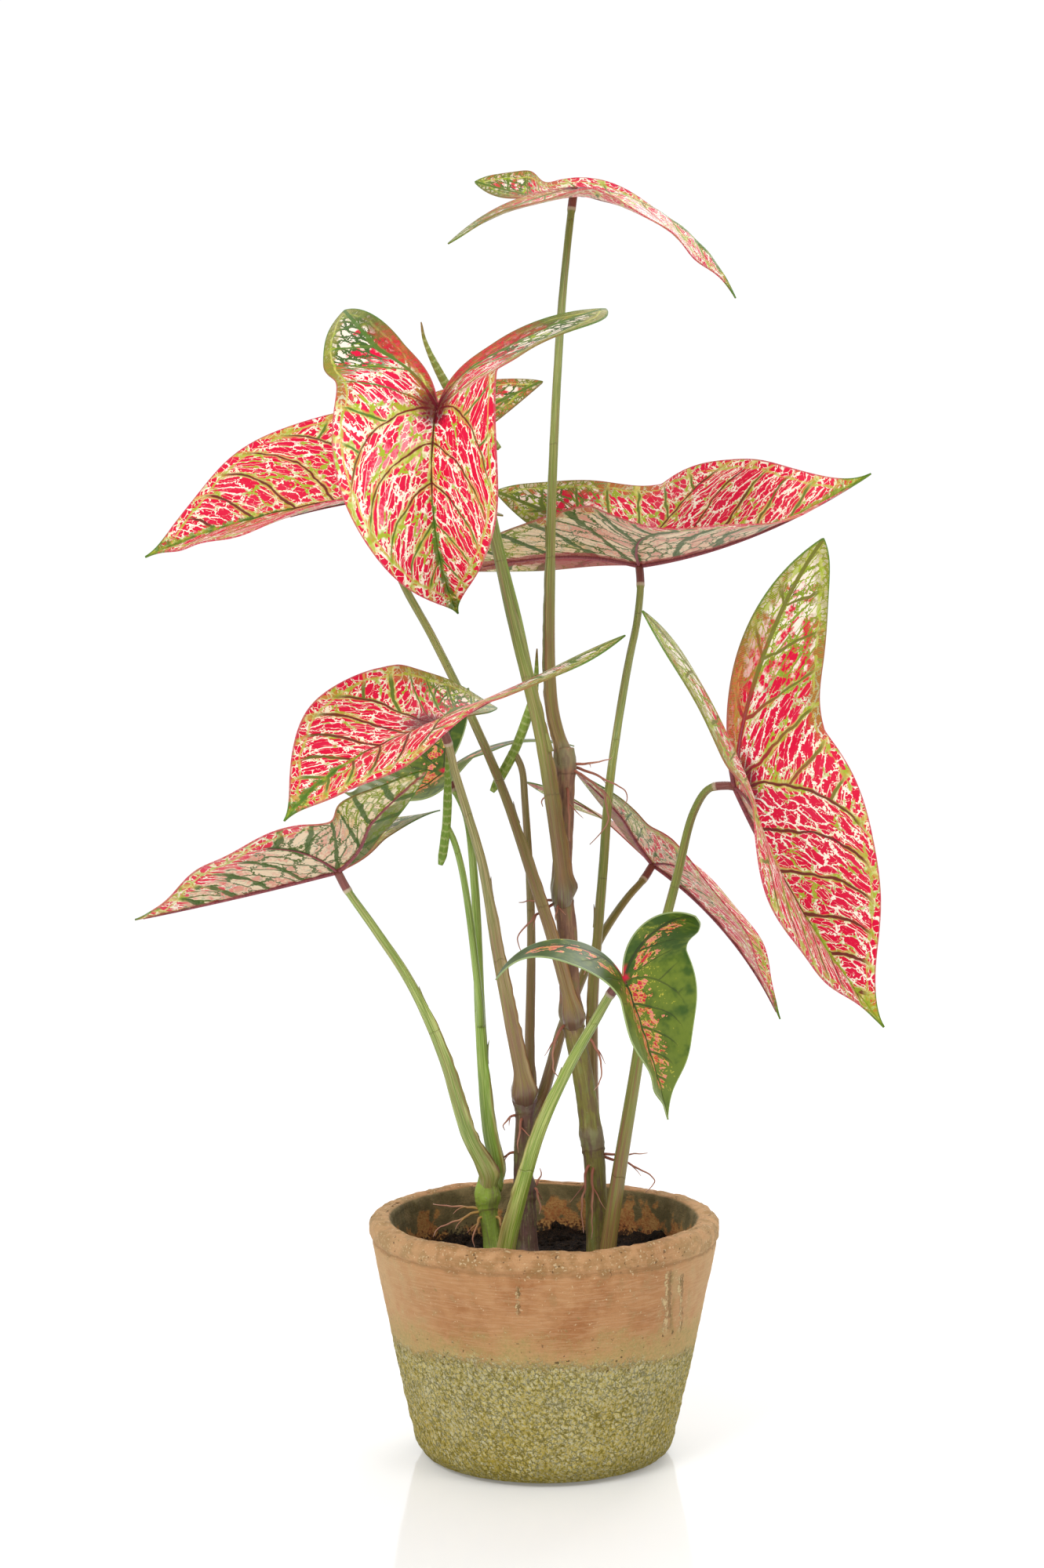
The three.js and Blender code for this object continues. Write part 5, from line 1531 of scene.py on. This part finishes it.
# %% Shape of the pot
def pot_shape():
    """The profile turned round the axis, moved outwards by its relief, with a wavy top. The field "spot" is the
    place in mm and "wear" the wear."""
    angle = ring_angles(POT_COLUMNS)
    radius, height = rows[:, :1], rows[:, 1:]
    along = unit(np.gradient(rows, axis=0))
    outward_r, outward_z = along[:, 1:], -along[:, :1]
    points = np.stack([radius * np.cos(angle), radius * np.sin(angle), height + 0 * angle], axis=-1).reshape(-1, 3)
    normal = np.stack([outward_r * np.cos(angle), outward_r * np.sin(angle), outward_z + 0 * angle], axis=-1)
    normal = normal.reshape(-1, 3)
    inside = np.repeat(np.arange(len(rows)) > np.argmax(rows[:, 1]) + 4, POT_COLUMNS).astype(float)
    turn = np.arctan2(points[:, 1], points[:, 0])
    top = smooth(points[:, 2], 97, 100.5)
    relief, wear = pot_relief(points, inside)
    points = points + normal * relief[:, None]
    points[:, 2] -= top * (0.35 + 0.45 * np.sin(turn * 2 + 0.6) + 0.25 * np.sin(turn * 5 + 2))
    points[:, 2] = np.clip(points[:, 2], 0, POT_HEIGHT)
    points = np.vstack([points, [0, 0, 0], [0, 0, POT_WALL[-1][1]]])
    fields = {"spot": points, "wear": np.vstack([wear, [0, 0, 0], [0, 1, 0]])}
    return points, ring_faces(len(rows), POT_COLUMNS, flip=True), fields


pot_points, pot_faces, pot_fields = pot_shape()
print("pot:", pot_points.min(0).round(1), pot_points.max(0).round(1))

# %% [markdown]
# The colours follow the same wear: orange clay with fine streaks round it and pale lime specks, made paler at both
# sides by painted light, sandy dust above the moss, grainy yellow-green crust with painted highlights on its grains
# and painted shade in its gaps, and an inner wall that is dark with damp except where orange clay has been laid bare.
# Each of them is worked out for the whole pot, and the wear says where it shows.


# %% Noises and wear of the pot
def read_pot(finish):
    """The wires that the pot's colours share: the place in mm, the wear, and noises from broad to fine."""
    spot = finish.attribute("spot")
    x, y, z = spot.parts()
    crust, inside, marks = finish.attribute("wear").parts()
    patch = finish.noise(spot, 0.16, 4.0)
    return SimpleNamespace(
        spot=spot, x=x, y=y, z=z, crust=crust, inside=inside, marks=marks, cloud=finish.noise(spot, 0.045, 3.0),
        patch=patch,
        streak=finish.noise(finish.vector(x * 0.12, y * 0.12, z * 1.5), 1.0, 3.0),
        speck=finish.noise(spot, 0.9, 3.0), fine=finish.noise(spot, 2.2, 2.0),
        rim=(z + (patch - 0.5) * 6).rises(89, 94),
    )


# %% Clay
SCRATCHES = [(-10.3, 73, 88, 0.45), (50.5, 60, 90, 0.9), (56.0, 58, 87, 0.4)]  # place, lower and upper end, width


def shallow_scratches(p):
    """Upright scratches on the front of the pot: how deep a point lies in one, and how far on the lip beside it."""
    wander = (p.patch - 0.5) * 5 + (p.speck - 0.5) * 2.0 + (p.fine - 0.5) * 0.8
    deep, lip = 0.0, 0.0
    for place, low, high, width in SCRATCHES:
        sideways = (p.x - place + wander) / width
        within = p.z.rises(low, low + 5) * p.z.rises(high, high - 3)
        deep = (abs(sideways).rises(1.0, 0.3) * within).most(deep)
        lip = (abs(sideways + 1.8).rises(1.3, 0.5) * within).most(lip)
    front = p.y.rises(0, -10)
    return deep * front * p.patch.rises(0.42, 0.55) * 0.6, lip * front * p.speck.rises(0.38, 0.52)


def clay_colour(finish, p, deep, lip):
    """Orange clay, paler at both sides by painted light, duller at the rim, with painted shade in the groove under
    it, and dust above the moss.
    """
    # painted light: the clay is made paler toward both sides of the pot
    sides = (abs(p.x) + (p.patch - 0.5) * 60).rises(35, 75)
    # painted shade: the groove under the rim is darkened
    groove = (abs(p.z - 91.2 + (p.patch - 0.5) * 3)).rises(1.2, 0.2) * p.streak.rises(0.3, 0.5)
    lime = (p.speck + p.rim * 0.05 + (p.patch - 0.5) * 0.2).rises(0.66, 0.72)
    dust = (p.z - (p.patch - 0.5) * 26 - (p.fine - 0.5) * 20 + (p.cloud - 0.5) * 20).rises(70, 52)
    return finish.layers(
        "#B6865A",
        ((p.cloud * 0.5 + p.patch * 0.5).rises(0.39, 0.63), "#A06A40"),
        (p.streak.rises(0.46, 0.62) * 0.3, "#CDA57C"),
        (sides * 0.68, "#CEAE80"),
        ((p.patch + (p.speck - 0.5) * 0.3).rises(0.54, 0.7) * 0.4, "#A68A5E"),
        (p.rim * 0.5, finish.mix(p.patch.rises(0.4, 0.6), "#C69C70", "#97784C")),
        (groove * 0.5, "#8E6A44"),
        (lime * 0.6, "#DCC39C"),
        ((p.fine * 0.6 + p.speck * 0.5).rises(0.34, 0.27) * 0.6, "#74502F"),
        (dust * 0.75, finish.mix(p.speck.rises(0.35, 0.65), "#B99C66", "#A09258")),
        (p.marks.rises(0.08, 0.35) * 0.55, "#8A7A48"),
        (lip * 0.75, "#D2BC8C"),
        (deep, "#7E6A42"),
    )


# %% Moss, and the inside of the wall
def moss_colour(finish, p, chip, flake):
    """Grains of yellow-green crust whose paler middles and near-white highlights are painted light, with painted
    shade in the gaps between them, and darker near the floor.
    """
    # the tone varies at random and is a little paler higher up; the paler middle of each grain is painted light
    tone = flake * 0.95 + (p.patch - 0.5) * 0.9 + (p.cloud - 0.5) * 1.2 + (p.z - 14) * 0.010
    tone = tone.clipped()
    # painted shade: the gaps between the grains are darkened
    gap_shade = (chip + (p.fine - 0.5) * 0.1).rises(0.14, 0.03) * (p.patch + p.speck - 0.6).rises(0.2, 0.45)
    gap_shade = gap_shade.most((flake + (p.fine - 0.5) * 0.6).rises(0.12, 0.0))
    return finish.layers(
        "#D4BA4A",
        (tone, "#FFF0A0"),
        # painted highlights: near-white glints on the grains
        ((tone * 0.5 + flake * 0.5 + p.speck * 0.6).rises(0.9, 1.1) * 0.9, "#F2E9BE"),
        (gap_shade * 0.75, "#6C642A"),
        ((p.z + (p.patch - 0.5) * 14).rises(14, 0) * 0.4, "#66642F"),
    )


def inner_colour(finish, p):
    """Damp clay with bare orange patches below the rim, and nearly black where the soil touches it."""
    bare = p.patch + (p.cloud - 0.5) * 1.4 + (p.fine - 0.5) * 0.1 + p.x * 0.002 - (p.z - 88) * 0.03
    bare_colour = finish.mix((p.patch + p.speck - 0.5).rises(0.35, 0.7), "#A8683A", "#B98A50")
    return finish.layers(
        "#6A5F3E",
        (p.patch.rises(0.4, 0.65), "#857550"),
        (bare.rises(0.47, 0.57) * p.z.rises(99, 96) * 0.9, bare_colour),
        ((p.z + (p.speck - 0.5) * 18).rises(84, 80) * 0.9, "#2A2018"),
    )


# %% The finish of the pot
def pot_finish():
    """Clay, then moss where the crust is, then pits, then the inside. Grains come from the cells of two nets."""
    finish = Finish("weathered_clay", {"Specular IOR Level": 0.2})
    p = read_pot(finish)
    ragged = finish.vector(p.x + (p.speck - 0.5) * 3, p.y + (p.fine - 0.5) * 3, p.z + (p.fine - p.speck) * 3)
    chip = finish.node("TexVoronoi", {"feature": "DISTANCE_TO_EDGE"}, {"Vector": ragged, "Scale": 0.42}, "Distance")
    cell = finish.node("TexVoronoi", {"feature": "F1"}, {"Vector": ragged, "Scale": 0.75}, "Distance")
    # flake is 1 in the middle of a grain; it shapes both the grains' bump and their painted light
    flake = ((0.8 - cell) * 1.6 + (p.fine - 0.5) * 0.6 + (p.speck - 0.5) * 0.8).clipped()
    edge = p.crust + (p.fine - 0.5) * 1.2 + (p.speck - 0.5) * 1.2 + (p.patch - 0.5) * 0.8
    edge = edge.rises(0.15, 0.8) * p.crust.rises(0.0, 0.3)
    pit = finish.noise(p.spot, 0.55, 2.0).rises(0.68, 0.72) * abs(p.z - 54).rises(16, 3).most(p.rim * 0.8)
    deep, lip = shallow_scratches(p)
    colour = finish.layers(
        clay_colour(finish, p, deep, lip),
        (edge * (0.6 + p.crust * 0.4), moss_colour(finish, p, chip, flake)),
        (pit * 0.75, "#4A3A24"),
        (p.inside, inner_colour(finish, p)),
    )
    chipped = chip.rises(0.0, 0.14) * 1.6 + flake * 2.0 + p.fine * 0.9
    height = p.speck * 0.5 + p.fine * 0.35 + p.streak * 0.25
    height = height + edge * p.crust.rises(0.1, 1.0) * chipped - (pit + deep) * 1.5 + lip * 0.5
    return finish.done(Base_Color=colour, Roughness=0.78 + edge * 0.2, Normal=finish.bump(height, 0.0010, 0.8))


add_piece("clay_pot", pot_points, pot_faces, ["pot"], pot_finish(), pot_fields)

# %% [markdown]
# ## Soil
#
# Potting soil is nearly black and crumbly. A disc with large and small bumps gives the bed, a little higher at the
# back, and a few hundred loose crumbs break up its surface. Each crumb is a small ball of a few dozen faces, pulled
# out of shape, and all of them are one mesh.

# %% The bed of soil
SOIL_LEVEL = 78.5
SOIL_RADIUS = 61.5
SOIL_FLOOR = 66.0  # underside of the bed, hidden in the pot
SOIL_RINGS, SOIL_COLUMNS = 96, 300
SOIL_HEAPS = [(24, 34, 3, 22), (50, 27, 8, 5.5), (42, 36, 4.5, 6), (8, 56, 5, 5), (-37, 43, 4, 6)]


def soil_height(x, y):
    """The level, the heaps as Gaussian hills, and crumbs of three sizes."""
    flat = np.stack([x, y, np.zeros_like(x)], axis=-1).reshape(-1, 3)
    crumbs = lumps(flat, 7, 51) * 0.9 + grains(flat, 3.4, 52) * 2.0 + grains(flat, 1.5, 53) * 0.9 - 1.6
    heaps = sum(high * np.exp(-((x - cx) ** 2 + (y - cy) ** 2) / wide**2) for cx, cy, high, wide in SOIL_HEAPS)
    return SOIL_LEVEL + heaps + crumbs.reshape(x.shape)


def soil_bed():
    """Rings from the middle out, a short wall down to the underside, and a point that closes each end."""
    ring = (np.linspace(0.004, 1, SOIL_RINGS) * SOIL_RADIUS)[:, None]
    turn = ring_angles(SOIL_COLUMNS)
    x, y = ring * np.cos(turn), ring * np.sin(turn)
    top = np.stack([x, y, soil_height(x, y)], axis=-1)
    skirt = top[-1:] * [0.985, 0.985, 0] + [0, 0, SOIL_FLOOR]
    points = np.concatenate([top, skirt]).reshape(-1, 3)
    points = np.vstack([points, top[0].mean(0), [0, 0, SOIL_FLOOR]])
    return points, ring_faces(SOIL_RINGS + 1, SOIL_COLUMNS, flip=True), {"spot": points}


print("the soil goes from", SOIL_FLOOR, "mm up to about", SOIL_LEVEL, "mm")


# %% Crumbs and colour of the soil
CRUMBS = 420


def crumb(random):
    """A ball of seven sides, shaken by up to a quarter of its size and turned at random, somewhere on the bed."""
    far, around = SOIL_RADIUS * random.uniform(0, 0.94) ** 0.5, random.uniform(0, 2 * math.pi)
    size = random.uniform(0.6, 2.0)
    x, y = far * math.cos(around), far * math.sin(around)
    z = float(soil_height(np.array([x]), np.array([y]))[0])
    line = np.linspace((0, 0, -1), (0, 0, 1), 5) * size
    points, faces, _ = tube(line, line[:, 2], size * np.array([0.25, 0.8, 1.0, 0.8, 0.25]), 7)
    points = (points + random.uniform(-0.25, 0.25, points.shape) * size) @ np.linalg.qr(random.normal(size=(3, 3)))[0]
    points = points + [x, y, z]
    return points, faces, {"spot": points}


def soil_finish():
    """Nearly black, with browner crumbs and a few pale brown grains."""
    finish = Finish("dark_soil", {"Roughness": 0.95, "Specular IOR Level": 0.15})
    spot = finish.attribute("spot")
    fine, coarse = finish.noise(spot, 1.6, 3.0), finish.noise(spot, 0.4, 2.0)
    brown = (fine + (coarse - 0.5) * 0.8).rises(0.4, 0.75)
    colour = finish.layers("#15100D", (brown, "#332519"), (fine.rises(0.66, 0.72) * 0.6, "#6B4E33"))
    return finish.done(Base_Color=colour, Normal=finish.bump(fine + coarse, 0.001, 0.8))


random = np.random.default_rng(60)
points, faces, fields = join([soil_bed(), *(crumb(random) for _ in range(CRUMBS))])
add_piece("potting_soil", points, faces, ["soil"], soil_finish(), fields)

# %% [markdown]
# ## Studio
#
# The plant stands on a pale, slightly glossy floor before a white ground, in soft light that comes mostly from the
# upper left. A camera at the height of the leaves, tilted down a little, sees into the pot.

# %% Floor
FLOOR_REACH = 4.0  # metres to each side
FLOOR_GAP = 0.0004  # the floor lies this far below the pot, so that the two don't flicker
floor_mesh = bpy.data.meshes.new("floor")
corners = [(x * FLOOR_REACH, y * FLOOR_REACH, -FLOOR_GAP) for x, y in ((-1, -1), (1, -1), (1, 1), (-1, 1))]
floor_mesh.from_pydata(corners, [], [(0, 1, 2, 3)])
floor = bpy.data.objects.new("floor", floor_mesh)
white = {"Base Color": (0.9, 0.9, 0.9, 1), "Emission Color": (1, 1, 1, 1), "Emission Strength": 0.16}
ground = Finish("floor_white", {"Roughness": 0.09, "Specular IOR Level": 0.5, **white})
floor_mesh.materials.append(ground.material)
bpy.context.scene.collection.objects.link(floor)
print("floor:", 2 * FLOOR_REACH, "m wide")

# %% Lamps
LAMPS = {  # place, the point it is turned to, size in metres, watts
    "key": ((-0.9, -1.3, 1.3), (0, 0, 0.3), 0.7, 17),
    "fill": ((1.1, -0.9, 1.1), (0, 0, 0.3), 0.8, 6.5),
    "back": ((0.5, 1.2, 1.2), (0, 0, 0.35), 0.8, 8),
}


def soft_light(name, place, aim, size, watts):
    """A square area light at a place, turned to face another."""
    lamp = bpy.data.lights.new(name, "AREA")
    lamp.energy, lamp.size = watts, size
    lamp_object = bpy.data.objects.new(name, lamp)
    lamp_object.location = place
    direction = np.subtract(aim, place)
    across = math.hypot(direction[0], direction[1])
    lamp_object.rotation_euler = (math.atan2(across, -direction[2]), 0, math.atan2(-direction[0], direction[1]))
    bpy.context.scene.collection.objects.link(lamp_object)


for name, settings in LAMPS.items():
    soft_light(name, *settings)
print("lamps:", ", ".join(LAMPS))

# %% The ground behind, and the camera
FADE = {"From Min": 0.2, "From Max": 0.8, "To Min": 0.58, "To Max": 1.03}  # bright behind the plant, dimmer elsewhere
world = bpy.data.worlds.new("studio")
world.use_nodes = True
tree = world.node_tree
sky, toward = tree.nodes["Background"], tree.nodes.new("ShaderNodeTexCoord")
sky.inputs["Color"].default_value = (1, 1, 1, 1)
split, fade = tree.nodes.new("ShaderNodeSeparateXYZ"), tree.nodes.new("ShaderNodeMapRange")
for socket, value in FADE.items():
    fade.inputs[socket].default_value = value
tree.links.new(toward.outputs["Generated"], split.inputs[0])
tree.links.new(split.outputs["Y"], fade.inputs["Value"])
tree.links.new(fade.outputs[0], sky.inputs["Strength"])
bpy.context.scene.world = world
camera = bpy.data.objects.new("camera", bpy.data.cameras.new("camera"))
camera.data.sensor_width = 36
camera.data.lens = 57.6
camera.location = (-0.00933, -1.0522, 0.3323)
camera.rotation_euler = (math.radians(87.3), 0, 0)
bpy.context.scene.collection.objects.link(camera)
bpy.context.scene.camera = camera
bpy.context.scene.view_settings.view_transform = "Standard"
print("camera at", [round(value, 3) for value in camera.location], "m, lens", round(camera.data.lens, 1), "mm")
